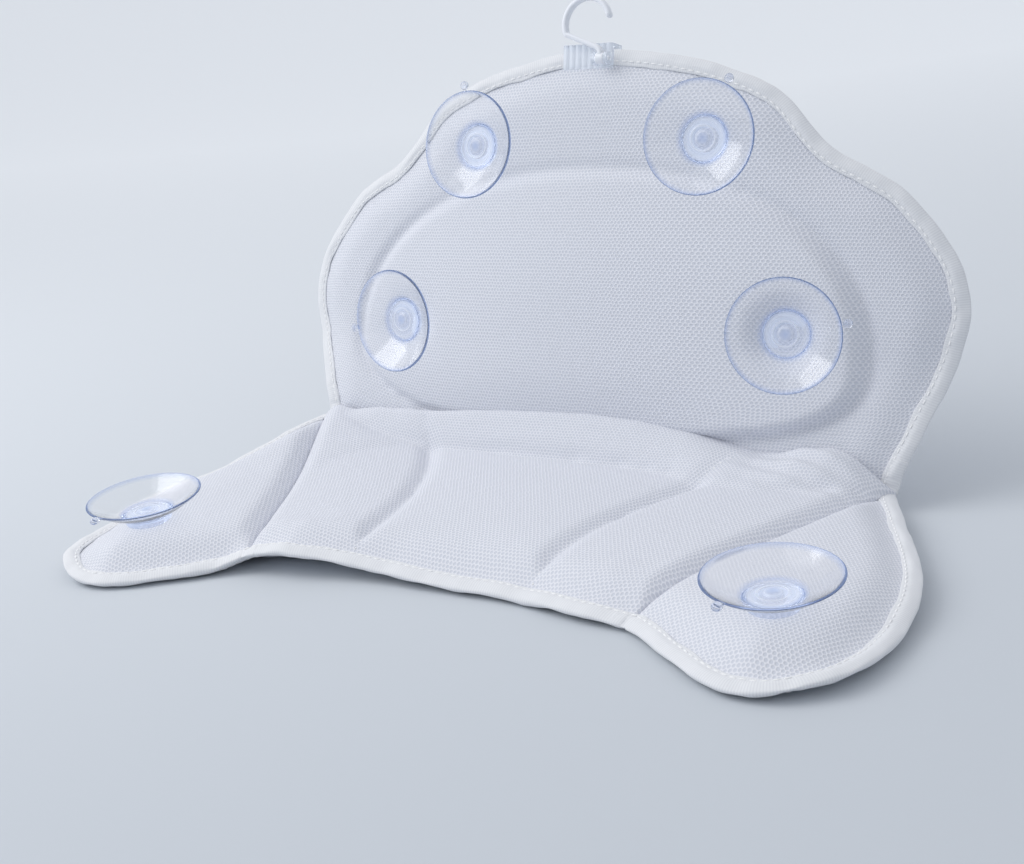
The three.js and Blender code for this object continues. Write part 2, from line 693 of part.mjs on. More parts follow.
/** One moulded cup, standing on its hub's flat base at z = 0, with its pull tab along +X. */
function cupBody(neck) {
  const floor = HUB_HEIGHT + BELL_WALL;
  const rim = CUP_HEIGHT - CUP_RIM;
  const flare = (low, high, share) => low + (high - low) * share ** (1 + FLARE * (1 - share));
  const inner = CUP_R - CUP_LIP;
  const waist = (HUB_R + CUP_R) / 2;
  const bell = revolve(
    [
      [0, -neck - BUTTON],
      [BUTTON_R, -neck - BUTTON],
      [BUTTON_R, -neck],
      [NECK_R, -neck],
      [NECK_R, 0],
      [HUB_R, 0],
      [HUB_R, HUB_HEIGHT],
      [waist, flare(HUB_HEIGHT, rim, 0.5)],
      [CUP_R, rim],
      [CUP_R, CUP_HEIGHT],
      [inner, CUP_HEIGHT],
      [waist, flare(floor, CUP_HEIGHT, 0.5)],
      [HUB_R, floor],
      [NUB_R, floor],
      [NUB_TOP_R, floor + NUB_HEIGHT],
      [0, floor + NUB_HEIGHT],
    ],
    CUP_STEPS,
  );
  const beadX = CUP_R + TAB_REACH - BEAD_R;
  const tongue = block(
    new THREE.Vector3(CUP_R - CUP_LIP / 2, -TAB_NECK / 2, rim),
    new THREE.Vector3(beadX, TAB_NECK / 2, CUP_HEIGHT - TAB_SETBACK),
  );
  const bead = new THREE.SphereGeometry(BEAD_R, BEAD_STEPS, BEAD_STEPS - 2);
  bead.translate(beadX, 0, CUP_HEIGHT - CUP_RIM / 2);
  return join(bell, [tongue, solid(bead)]);
}

function washerBody() {
  const inner = NECK_R + NECK_PLAY;
  const profile = [[inner, -WASHER], [WASHER_R, -WASHER], [WASHER_R, 0], [inner, 0], [inner, -WASHER]];
  return revolve(profile, HOLE_STEPS);
}

/** Turns a mesh so that its +Z lies on an axis and its +X points a set angle round from the panel's +X. */
function face(mesh, axis, turn) {
  const side = new THREE.Vector3(1, 0, 0).addScaledVector(axis, -axis.x).normalize();
  const up = new THREE.Vector3().crossVectors(axis, side);
  mesh.quaternion.setFromRotationMatrix(new THREE.Matrix4().makeBasis(side, up, axis));
  mesh.rotateZ(THREE.MathUtils.degToRad(turn));
}

// Hanging hook

const CLIP_INNER = EDGE_HALF + GAP + TAPE + CLIP_PLAY;
const CLIP_TOP = HEAD_HEIGHT + CLIP_PLAY + CLIP_WALL;
const PIN_Y = CLIP_TOP - PIN_DROP;
const PIN_Z = CLIP_INNER + CLIP_WALL + CLIP_RIB + PIN_PLAY + HOOK_EYE_R;

function hookClip() {
  const half = CLIP_INNER + CLIP_WALL;
  const pitch = CLIP_WIDTH / CLIP_RIBS;
  const outline = new THREE.Shape();
  outline.moveTo(-CLIP_WIDTH / 2, -half);
  for (let i = 0; i < CLIP_RIBS; i++) {
    const start = -CLIP_WIDTH / 2 + i * pitch;
    outline.quadraticCurveTo(start + pitch / 2, -half - 2 * CLIP_RIB, start + pitch, -half);
  }
  outline.lineTo(CLIP_WIDTH / 2, half);
  for (let i = 0; i < CLIP_RIBS; i++) {
    const start = CLIP_WIDTH / 2 - i * pitch;
    outline.quadraticCurveTo(start - pitch / 2, half + 2 * CLIP_RIB, start - pitch, half);
  }
  const length = CLIP_LEG + CLIP_PLAY + CLIP_WALL;
  const ribbed = plate(outline, length, RIB_STEPS);
  ribbed.rotateX(-Math.PI / 2);
  ribbed.translate(CLIP_X, CLIP_TOP - length, 0);
  const slot = block(
    new THREE.Vector3(-CLIP_WIDTH, HEAD_HEIGHT - 2 * CLIP_LEG, -CLIP_INNER),
    new THREE.Vector3(CLIP_WIDTH, HEAD_HEIGHT + CLIP_PLAY, CLIP_INNER),
  );
  const lugs = [-1, 1].map((side) => lug(LUG_X + side * (HOOK_WIDTH / 2 + GAP + LUG_WALL / 2)));
  const hole = crossRod(PIN_R + GAP, HOOK_WIDTH + LUG_WALL, HOLE_STEPS);
  return cut(join(cut(solid(ribbed), [slot]), lugs), [hole]);
}

/** A rod across the clip, on the pin's line, that reaches equally far to both sides of the hook. */
function crossRod(radius, reach, steps) {
  const [left, right] = [LUG_X - reach, LUG_X + reach];
  return rod(radius, new THREE.Vector3(left, PIN_Y, PIN_Z), new THREE.Vector3(right, PIN_Y, PIN_Z), steps);
}

/** An ear on the clip's rear wall, round at its end, that carries one end of the hook's pin. */
function lug(x) {
  const root = CLIP_INNER + CLIP_WALL / 2;
  const side = new THREE.Shape();
  side.moveTo(-root, PIN_Y + LUG_R);
  side.lineTo(-PIN_Z, PIN_Y + LUG_R);
  side.absarc(-PIN_Z, PIN_Y, LUG_R, Math.PI / 2, (3 * Math.PI) / 2, false);
  side.lineTo(-root, PIN_Y - LUG_R);
  const geometry = plate(side, LUG_WALL, RIB_STEPS);
  geometry.rotateY(Math.PI / 2);
  geometry.translate(x - LUG_WALL / 2, 0, 0);
  return solid(geometry);
}

function hookPin() {
  return crossRod(PIN_R, HOOK_WIDTH / 2 + GAP + LUG_WALL, PIN_STEPS);
}

/** The hook's flat band: a stem on the pin, a slanting leg, then up one side of the crook to the open tip. */
function hookBody() {
  const knee = vec(LUG_X, PIN_Y + HOOK_STEM);
  const centre = vec(LUG_X + HOOK_CENTRE_X, PIN_Y + HOOK_CENTRE_Y);
  const outline = new THREE.Shape();
  const [tip, root] = [HOOK_TIP_ANGLE, HOOK_ROOT_ANGLE].map(THREE.MathUtils.degToRad);
  const rim = (radius, angle) => vec(radius, 0).rotateAround(vec(0, 0), angle).add(centre);
  const outer = HOOK_R + HOOK_THICK / 2;
  const inner = HOOK_R - HOOK_THICK / 2;
  const leg = knee.clone().sub(rim(HOOK_R, root)).normalize();
  const across = vec(-leg.y, leg.x).multiplyScalar(HOOK_THICK / 2);
  const footOut = knee.clone().sub(across);
  const footIn = knee.clone().add(across);
  outline.moveTo(footOut.x, footOut.y);
  outline.lineTo(footIn.x, footIn.y);
  outline.lineTo(rim(inner, root).x, rim(inner, root).y);
  outline.absarc(centre.x, centre.y, inner, root, tip, true);
  outline.lineTo(rim(outer, tip).x, rim(outer, tip).y);
  outline.absarc(centre.x, centre.y, outer, tip, root, false);
  outline.lineTo(footOut.x, footOut.y);
  const band = plate(outline, HOOK_WIDTH, CROOK_STEPS);
  const [front, behind] = [PIN_Z - HOOK_WIDTH / 2, PIN_Z + HOOK_WIDTH / 2];
  band.translate(0, 0, front);
  const barrel = crossRod(HOOK_EYE_R, HOOK_WIDTH / 2, HOLE_STEPS);
  const stem = block(
    new THREE.Vector3(LUG_X - HOOK_THICK / 2, PIN_Y, front),
    new THREE.Vector3(LUG_X + HOOK_THICK / 2, PIN_Y + HOOK_STEM, behind),
  );
  const bend = rod(
    HOOK_THICK / 2,
    new THREE.Vector3(LUG_X, PIN_Y + HOOK_STEM, front),
    new THREE.Vector3(LUG_X, PIN_Y + HOOK_STEM, behind),
    HOLE_STEPS,
  );
  return cut(join(barrel, [stem, bend, solid(band)]), [crossRod(PIN_R + GAP, HOOK_WIDTH, HOLE_STEPS)]);
}

// Assembly

function piece(parent, name, geometry, finish) {
  const mesh = new THREE.Mesh(geometry, new THREE.MeshStandardMaterial(finish));
  mesh.name = name;
  parent.add(mesh);
  return mesh;
}

/** A cup and the washer behind its mesh, on one side of a panel. */
function placeCup(parent, name, seat, left) {
  const flip = (v) => (left ? new THREE.Vector3(-v.x, v.y, v.z) : v.clone());
  const cup = piece(parent, `cup_${name}`, cupBody(seat.neck), CLEAR_PVC);
  cup.position.copy(flip(seat.hub));
  face(cup, flip(seat.axis), TAB_TURN[name]);
  const washer = piece(parent, `washer_${name}`, washerBody(), CLEAR_PVC);
  washer.position.copy(flip(seat.washerTop));
  face(washer, flip(seat.axis), 0);
}

function seamCord(from, to) {
  const span = to.clone().sub(from).normalize().multiplyScalar(CORD_SETBACK);
  return rod(CORD_R, from.clone().add(span), to.clone().sub(span), CORD_STEPS);
}

const pillow = new THREE.Group();
const headRest = new THREE.Group();
headRest.position.z = WAIST_Z;
headRest.rotation.x = THREE.MathUtils.degToRad(HEAD_TILT);
pillow.add(headRest);

const upperSeat = seatCup(HEAD_UPPER_CUP, headPlan, headRear);
const lowerSeat = seatCup(HEAD_LOWER_CUP, headPlan, headRear);
const wingSeat = seatCup(WING_CUP, wingPlan, wingTop);

for (const [name, geometry] of Object.entries(backPanel())) {
  piece(pillow, name, geometry, name.endsWith("mesh") ? FABRIC : FILL);
}
piece(pillow, "back_binding", backBinding(), TAPE_FINISH);

const wing = wingPieces(wingSeat);
const wingTape = wingBinding();
const hingeTop = new THREE.Vector3(NOTCH.x, NOTCH.y, MID);
const hingeFront = new THREE.Vector3(SEAM_FRONT.x, SEAM_FRONT.y, MID);
const wingCord = seamCord(hingeTop, hingeFront);
for (const left of [true, false]) {
  const side = left ? "left" : "right";
  const hand = (geometry) => (left ? mirrorX(geometry) : geometry);
  piece(pillow, `wing_${side}_rear_mesh`, hand(wing.rear_mesh), FABRIC);
  piece(pillow, `wing_${side}_face_mesh`, hand(wing.face_mesh), FABRIC);
  piece(pillow, `wing_${side}_wadding`, hand(wing.wadding), FILL);
  piece(pillow, `wing_${side}_binding`, hand(wingTape), TAPE_FINISH);
  piece(pillow, `wing_seam_${side}`, hand(wingCord), TAPE_FINISH);
  placeCup(pillow, `wing_${side}`, wingSeat, left);
  placeCup(headRest, `head_upper_${side}`, upperSeat, left);
  placeCup(headRest, `head_lower_${side}`, lowerSeat, left);
}

const waistEnd = new THREE.Vector3(WAIST_HALF, 0, WAIST_Z);
piece(pillow, "waist_seam", seamCord(waistEnd, waistEnd.clone().setX(-WAIST_HALF)), TAPE_FINISH);

for (const [name, geometry] of Object.entries(headPieces(upperSeat, lowerSeat))) {
  piece(headRest, name, geometry, name.endsWith("mesh") ? FABRIC : FILL);
}
piece(headRest, "head_binding", headBinding(), TAPE_FINISH);

const hookGroup = new THREE.Group();
hookGroup.position.z = -EDGE_HALF;
headRest.add(hookGroup);
piece(hookGroup, "hook_clip", hookClip(), CLEAR_PVC);
piece(hookGroup, "hook_pin", hookPin(), WHITE_PLASTIC);
piece(hookGroup, "hanging_hook", hookBody(), WHITE_PLASTIC);

// The origin is under the middle of the whole pillow, on the floor
const box = new THREE.Box3().setFromObject(pillow, true);
const centre = box.getCenter(new THREE.Vector3());
pillow.position.set(-centre.x, -centre.y, -box.min.z);

export default pillow;
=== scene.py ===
"""A butterfly bath pillow seen from its cup side: quilted air mesh, bound edges, clear suction cups and a hook."""

import json
import logging
import math
from abc import ABC, abstractmethod
from dataclasses import dataclass, field
from enum import Enum
from typing import Protocol

import bmesh
import bpy
import numpy as np
from mathutils import Matrix, Vector


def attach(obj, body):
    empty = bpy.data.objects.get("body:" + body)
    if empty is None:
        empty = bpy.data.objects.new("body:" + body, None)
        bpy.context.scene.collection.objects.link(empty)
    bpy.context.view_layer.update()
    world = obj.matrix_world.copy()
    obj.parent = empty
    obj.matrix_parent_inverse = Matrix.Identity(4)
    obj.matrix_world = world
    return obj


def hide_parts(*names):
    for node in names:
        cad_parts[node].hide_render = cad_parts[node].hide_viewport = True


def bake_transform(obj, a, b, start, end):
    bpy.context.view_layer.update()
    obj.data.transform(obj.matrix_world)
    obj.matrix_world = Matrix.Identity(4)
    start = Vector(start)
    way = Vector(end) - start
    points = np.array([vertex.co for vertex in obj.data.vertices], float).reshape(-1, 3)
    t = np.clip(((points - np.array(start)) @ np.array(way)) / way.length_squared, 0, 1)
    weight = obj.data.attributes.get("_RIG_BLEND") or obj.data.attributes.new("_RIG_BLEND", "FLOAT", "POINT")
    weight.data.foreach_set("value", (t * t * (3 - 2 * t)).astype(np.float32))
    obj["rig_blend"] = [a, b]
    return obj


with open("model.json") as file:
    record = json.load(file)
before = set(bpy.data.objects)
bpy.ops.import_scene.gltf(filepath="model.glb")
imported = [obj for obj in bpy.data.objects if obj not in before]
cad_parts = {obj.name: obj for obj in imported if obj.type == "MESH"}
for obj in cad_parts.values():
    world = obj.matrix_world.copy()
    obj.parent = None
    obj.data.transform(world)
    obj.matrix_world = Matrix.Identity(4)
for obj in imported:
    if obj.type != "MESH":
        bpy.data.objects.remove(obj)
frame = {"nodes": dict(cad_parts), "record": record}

LOG = logging.getLogger("bath_pillow")
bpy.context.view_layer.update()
MM = 0.001
JOINTS = {joint["name"]: joint for joint in frame["record"]["behaviour"]["joints"]}
UV_NAME = "pattern"
# Attributes of the cups: the first marks frosting, which also carries a painted highlight, and the second marks painted
# blue.
FROST_AND_PAINTED_LIGHT = "frost"
PAINTED_TINT = "tinge"
NUMBERS = "ShaderNodeMath"
VECTORS = "ShaderNodeVectorMath"
# A wave texture at a scale of 1 repeats after this length
WAVE_BAND = 0.314


# Small tools


def linear(colour: str) -> tuple[float, float, float, float]:
    """Turns an sRGB hex colour into linear light.

    Args:
        colour: Six hex digits after a hash sign.

    Returns:
        Linear red, green and blue, with full alpha.
    """
    parts = [int(colour[i : i + 2], 16) / 255 for i in (1, 3, 5)]
    light = [c / 12.92 if c <= 0.04045 else ((c + 0.055) / 1.055) ** 2.4 for c in parts]
    return (*light, 1.0)


def add(tree: bpy.types.NodeTree, kind: str, settings: dict) -> bpy.types.Node:
    """Adds a node, with its settings and links.

    Args:
        tree: The node tree that takes the node.
        kind: The node's type name.
        settings: Properties by name, then inputs by name or number, each a value or a socket to link.

    Returns:
        The new node.
    """
    made = tree.nodes.new(kind)
    for key, value in settings.items():
        if isinstance(key, str) and key not in made.inputs:
            setattr(made, key, value)
        elif isinstance(value, bpy.types.NodeSocket):
            tree.links.new(value, made.inputs[key])
        else:
            made.inputs[key].default_value = value
    return made


def reckon(tree: bpy.types.NodeTree, kind: str, operation: str, *values: object) -> bpy.types.Node:
    """Adds a node that reckons with numbers or vectors, its values in the order of its inputs."""
    return add(tree, kind, {"operation": operation, **dict(enumerate(values))})


def unrolled(tree: bpy.types.NodeTree, pitch_mm: float) -> bpy.types.NodeSocket:
    """Gives a piece's flat pattern, measured in units of a pitch.

    Args:
        tree: The material's nodes.
        pitch_mm: The pitch, in millimetres.

    Returns:
        The scaled coordinates.
    """
    flat = add(tree, "ShaderNodeUVMap", {"uv_map": UV_NAME}).outputs["UV"]
    scale = 1 / (pitch_mm * MM)
    return add(tree, "ShaderNodeMapping", {"Vector": flat, "Scale": (scale, scale, 1)}).outputs["Vector"]


def grain(tree: bpy.types.NodeTree, scale: float, detail: float) -> bpy.types.NodeSocket:
    """Gives a fine noise over a piece's own coordinates."""
    place = add(tree, "ShaderNodeTexCoord", {}).outputs["Object"]
    return add(tree, "ShaderNodeTexNoise", {"Vector": place, "Scale": scale, "Detail": detail}).outputs["Fac"]


def tone(tree: bpy.types.NodeTree, share: bpy.types.NodeSocket, low: str, high: str) -> bpy.types.NodeSocket:
    """Mixes two colours, with as much of the second as the share says."""
    mix = {"data_type": "RGBA", "Factor": share, 6: linear(low), 7: linear(high)}
    return add(tree, "ShaderNodeMix", mix).outputs[2]


def emboss(
    tree: bpy.types.NodeTree,
    shader: bpy.types.Node,
    height: bpy.types.NodeSocket,
    strength: float,
    depth_mm: float,
) -> None:
    """Raises a pattern on a shader's surface.

    Args:
        tree: The material's nodes.
        shader: Its principled shader.
        height: The pattern.
        strength: How strongly the pattern turns the light.
        depth_mm: How deep the pattern is, in millimetres.
    """
    relief = add(tree, "ShaderNodeBump", {"Height": height, "Strength": strength, "Distance": depth_mm * MM})
    tree.links.new(relief.outputs["Normal"], shader.inputs["Normal"])


def smooth(t: np.ndarray) -> np.ndarray:
    """Eases from 0 to 1."""
    t = np.clip(t, 0, 1)
    return t * t * (3 - 2 * t)


def ease(x: np.ndarray, start: float, span: float) -> np.ndarray:
    """Eases from 0 at a start to 1 a span further on."""
    return smooth((x - start) / span)


def crown(t: np.ndarray) -> np.ndarray:
    """Rises from a sewn edge as a stuffed cover does, steeply and then level."""
    return np.sin(np.pi / 2 * np.clip(t, 0, 1))


def through(points: list[tuple[float, float]], step: float) -> np.ndarray:
    """Runs a smooth line through points, in the way of a centripetal spline.

    Args:
        points: Corners on the flat pattern, in millimetres.
        step: About how far apart the stations are.

    Returns:
        Stations spaced evenly along the line.
    """
    corners = np.array(points, float)
    padded = np.vstack([2 * corners[0] - corners[1], corners, 2 * corners[-1] - corners[-2]])
    share = np.linspace(0, 1, 48, endpoint=False)[:, None]
    stretches = []
    for p0, p1, p2, p3 in zip(padded, padded[1:], padded[2:], padded[3:]):
        k0, k1, k2 = (max(np.sqrt(np.linalg.norm(b - a)), 1e-6) for a, b in ((p0, p1), (p1, p2), (p2, p3)))
        start = ((p1 - p0) / k0 - (p2 - p0) / (k0 + k1) + (p2 - p1) / k1) * k1
        stop = ((p2 - p1) / k1 - (p3 - p1) / (k1 + k2) + (p3 - p2) / k2) * k1
        stretches.append(
            p1 + start * share + (3 * (p2 - p1) - 2 * start - stop) * share**2
            + (2 * (p1 - p2) + start + stop) * share**3
        )
    dense = np.vstack([*stretches, corners[-1:]])
    return spaced(dense, step)


def spaced(line: np.ndarray, step: float) -> np.ndarray:
    """Spaces stations evenly along a line of short stretches.

    Args:
        line: The line's points.
        step: About how far apart the stations are.

    Returns:
        The stations, with both ends kept.
    """
    run = np.concatenate([[0], np.cumsum(np.linalg.norm(np.diff(line, axis=0), axis=1))])
    stops = np.linspace(0, run[-1], max(int(round(run[-1] / step)), 2) + 1)
    return np.stack([np.interp(stops, run, line[:, k]) for k in range(line.shape[1])], 1)


def uneven(run: np.ndarray, pitch: float, seed: int) -> np.ndarray:
    """Gives the unevenness of hand-guided sewing along a run.

    Args:
        run: Distances along the line, in millimetres.
        pitch: About how far apart the swells are.
        seed: Which of the many uneven runs this is.

    Returns:
        A smooth irregular value between -1 and 1 at each distance.
    """
    knots = np.random.default_rng(seed).uniform(-1, 1, int(run.max() / pitch) + 3)
    place = run / pitch
    low = place.astype(int)
    return knots[low] + (knots[low + 1] - knots[low]) * smooth(place - low)


def along(line: np.ndarray) -> np.ndarray:
    """Gives the direction of a line at each of its stations."""
    slope = np.gradient(line, axis=0)
    return slope / np.linalg.norm(slope, axis=1)[:, None]


def leftward(line: np.ndarray) -> np.ndarray:
    """Gives the way to the left of a line at each of its stations."""
    way = along(line)
    return np.stack([-way[:, 1], way[:, 0]], 1)


def nearest(points: np.ndarray, line: np.ndarray) -> np.ndarray:
    """Finds the place on a line that is nearest to each point.

    Args:
        points: Points on the flat pattern.
        line: The line's stations.

    Returns:
        One place on the line for each point.
    """
    start, span = line[:-1], np.diff(line, axis=0)
    away = points[:, None] - start
    share = np.clip((away * span).sum(-1) / (span**2).sum(-1), 0, 1)
    spots = start + share[..., None] * span
    best = np.argmin(np.linalg.norm(points[:, None] - spots, axis=-1), axis=1)
    return spots[np.arange(len(points)), best]


def distance(points: np.ndarray, line: np.ndarray) -> np.ndarray:
    """Measures how far points are from a line."""
    return np.linalg.norm(points - nearest(points, line), axis=1)


def within(points: np.ndarray, ring: np.ndarray) -> np.ndarray:
    """Tells which points lie inside a closed outline.

    Args:
        points: Points on the flat pattern.
        ring: The outline's corners in order.

    Returns:
        True for each point inside.
    """
    x, y = points.T
    inside = np.zeros(len(points), bool)
    for (x0, y0), (x1, y1) in zip(ring, np.roll(ring, -1, axis=0)):
        if y0 != y1:
            inside ^= ((y0 > y) != (y1 > y)) & (x < x0 + (x1 - x0) * (y - y0) / (y1 - y0))
    return inside


def shown(name: str, bm: bmesh.types.BMesh, finish: "Finish") -> bpy.types.Object:
    """Makes a mesh an object of the scene, with its place in its mesh.

    Args:
        name: The object's name.
        bm: The mesh, which is used up.
        finish: What the object is made of.

    Returns:
        The new object.
    """
    mesh = bpy.data.meshes.new(name)
    bm.to_mesh(mesh)
    bm.free()
    for polygon in mesh.polygons:
        polygon.use_smooth = True
    mesh.materials.append(finish.material())
    made = bpy.data.objects.new(name, mesh)
    bpy.context.collection.objects.link(made)
    return made


def rounded(made: bpy.types.Object, rounds: int) -> None:
    """Rounds an object with levels of subdivision."""
    modifier = made.modifiers.new("rounding", "SUBSURF")
    modifier.levels = modifier.render_levels = rounds


def piece(name: str, bm: bmesh.types.BMesh, finish: "Finish", rounds: int = 0) -> bpy.types.Object:
    """Makes a finished mesh a piece of the pillow.

    Args:
        name: The piece's name.
        bm: The mesh, which is used up.
        finish: What the piece is made of.
        rounds: Levels of subdivision.

    Returns:
        The new object.
    """
    made = shown(name, bm, finish)
    if rounds:
        rounded(made, rounds)
    LOG.info("%s: %d faces", name, len(made.data.polygons))
    return made


def turned(profile: list[tuple[float, float]], steps: int) -> bmesh.types.BMesh:
    """Spins a section round the upright axis.

    Args:
        profile: The section's corners, as radius and height.
        steps: How many steps make the full turn.

    Returns:
        The spun mesh.
    """
    bm = bmesh.new()
    corners = [bm.verts.new((out, 0, up)) for out, up in profile]
    edges = [bm.edges.new(pair) for pair in zip(corners, corners[1:])]
    turn = {"cent": (0, 0, 0), "axis": (0, 0, 1), "angle": 2 * math.pi, "steps": steps}
    bmesh.ops.spin(bm, geom=corners + edges, use_merge=True, **turn)
    bmesh.ops.remove_doubles(bm, verts=bm.verts[:], dist=1e-4)
    bmesh.ops.recalc_face_normals(bm, faces=bm.faces[:])
    return bm


def sweep(rings: list[np.ndarray]) -> bmesh.types.BMesh:
    """Draws one section along a path and closes both ends.

    Args:
        rings: The section's corners at each station, all in the same order.

    Returns:
        A closed mesh whose vertices follow the order of the rings.
    """
    bm = bmesh.new()
    first = [bm.verts.new(corner) for corner in rings[0]]
    edges = [bm.edges.new((a, b)) for a, b in zip(first, first[1:] + first[:1])]
    bmesh.ops.contextual_create(bm, geom=edges)
    for ring in rings[1:]:
        grown = bmesh.ops.extrude_edge_only(bm, edges=edges)["geom"]
        edges = [item for item in grown if isinstance(item, bmesh.types.BMEdge)]
        edges = [edge for edge in edges if edge.is_boundary or edge.is_wire]
        corners = [item for item in grown if isinstance(item, bmesh.types.BMVert)]
        for corner, place in zip(corners, ring):
            corner.co = place
    bmesh.ops.contextual_create(bm, geom=edges)
    bmesh.ops.recalc_face_normals(bm, faces=bm.faces[:])
    return bm


# Finishes


@dataclass(frozen=True)
class Finish(ABC):
    """What a piece is made of and how its surface was made."""

    name: str
    slot: str
    colour: str
    roughness: float

    def material(self) -> bpy.types.Material:
        """Gives the finish's material, made once."""
        return bpy.data.materials.get(self.name) or self.mix()

    def mix(self) -> bpy.types.Material:
        """Makes the material: a principled shader with this finish's surface.

        Returns:
            The new material.
        """
        made = bpy.data.materials.new(self.name)
        made.use_nodes = True
        tree = made.node_tree
        tree.nodes.clear()
        shader = add(tree, "ShaderNodeBsdfPrincipled", {"Base Color": linear(self.colour), "Roughness": self.roughness})
        add(tree, "ShaderNodeOutputMaterial", {"Surface": shader.outputs["BSDF"]})
        self.dress(tree, shader)
        return made

    @abstractmethod
    def dress(self, tree: bpy.types.NodeTree, shader: bpy.types.Node) -> None:
        """Adds this finish's pattern, relief and gloss to its shader."""


@dataclass(frozen=True)
class AirMesh(Finish):
    """Knitted polyester air mesh: a matt white net of small round openings over a padded core."""

    # The openings' colour is painted shade, darker where the inner layer lies in shadow.
    opening: str = "#d2d5de"
    pitch_mm: float = 2.05
    wander: float = 0.5
    hole: tuple[float, float] = (0.22, 0.52)
    half_cell: tuple[float, float, float] = (0.5, 0.866, 1.0)
    relief: tuple[float, float] = (0.5, 0.5)
    sheen: float = 0.12

    def dress(self, tree: bpy.types.NodeTree, shader: bpy.types.Node) -> None:
        """Draws the net: openings in offset rows, sunk and darkened with painted shade, on threads that wander a
        little.

        Args:
            tree: The material's nodes.
            shader: Its principled shader.
        """
        net = unrolled(tree, self.pitch_mm)
        drift = add(tree, "ShaderNodeTexNoise", {"Vector": net, "Scale": 0.35, "Detail": 1.0}).outputs["Color"]
        drift = reckon(tree, VECTORS, "SUBTRACT", drift, (0.5, 0.5, 0.5)).outputs[0]
        drift = reckon(tree, VECTORS, "MULTIPLY", drift, (self.wander, self.wander, 0.0)).outputs[0]
        net = reckon(tree, VECTORS, "ADD", net, drift).outputs[0]
        low = tuple(-size for size in self.half_cell)
        rows = []
        for shift in ((0.0, 0.0, 0.0), (*self.half_cell[:2], 0.0)):
            moved = reckon(tree, VECTORS, "ADD", net, shift).outputs[0]
            centred = reckon(tree, VECTORS, "WRAP", moved, self.half_cell, low).outputs[0]
            rows.append(reckon(tree, VECTORS, "LENGTH", centred).outputs["Value"])
        near = reckon(tree, NUMBERS, "MINIMUM", *rows).outputs[0]
        step = {"interpolation_type": "SMOOTHSTEP", "Value": near, "From Min": self.hole[0], "From Max": self.hole[1]}
        thread = add(tree, "ShaderNodeMapRange", step).outputs["Result"]
        # Painted shade: the openings are coloured darker than the threads.
        tree.links.new(tone(tree, thread, self.opening, self.colour), shader.inputs["Base Color"])
        emboss(tree, shader, thread, *self.relief)
        shader.inputs["Sheen Weight"].default_value = self.sheen
        shader.inputs["Sheen Roughness"].default_value = 0.5


@dataclass(frozen=True)
class WovenTape(Finish):
    """Woven polyester tape: off-white, with fine ribs across its length that catch a soft light."""

    rib_mm: float = 1.3
    # Painted shade for the furrows between the ribs.
    furrow: str = "#e0e1e4"
    relief: tuple[float, float] = (0.1, 0.2)
    sheen: float = 0.1

    def dress(self, tree: bpy.types.NodeTree, shader: bpy.types.Node) -> None:
        """Draws the ribs, twice as coarse as the real weave so that they show, with painted shade in their furrows.

        Args:
            tree: The material's nodes.
            shader: Its principled shader.
        """
        wave = {"Vector": unrolled(tree, self.rib_mm), "Scale": WAVE_BAND}
        wave.update({"Distortion": 0.8, "Detail": 1.0, "Detail Scale": 2.0})
        ribs = add(tree, "ShaderNodeTexWave", wave).outputs["Fac"]
        # Painted shade: the furrows are coloured darker than the ribs.
        tree.links.new(tone(tree, ribs, self.furrow, self.colour), shader.inputs["Base Color"])
        emboss(tree, shader, ribs, *self.relief)
        shader.inputs["Sheen Weight"].default_value = self.sheen


@dataclass(frozen=True)
class SpunThread(Finish):
    """Spun polyester thread: bright white, with the turns of its ply."""

    ply_mm: float = 0.9
    relief: tuple[float, float] = (0.3, 0.15)

    def dress(self, tree: bpy.types.NodeTree, shader: bpy.types.Node) -> None:
        """Draws the slanting turns of the ply.

        Args:
            tree: The material's nodes.
            shader: Its principled shader.
        """
        place = add(tree, "ShaderNodeTexCoord", {}).outputs["Object"]
        wave = {"bands_direction": "DIAGONAL", "Vector": place}
        wave.update({"Scale": WAVE_BAND / (self.ply_mm * MM), "Distortion": 0.5})
        turns = add(tree, "ShaderNodeTexWave", wave).outputs["Fac"]
        emboss(tree, shader, turns, *self.relief)


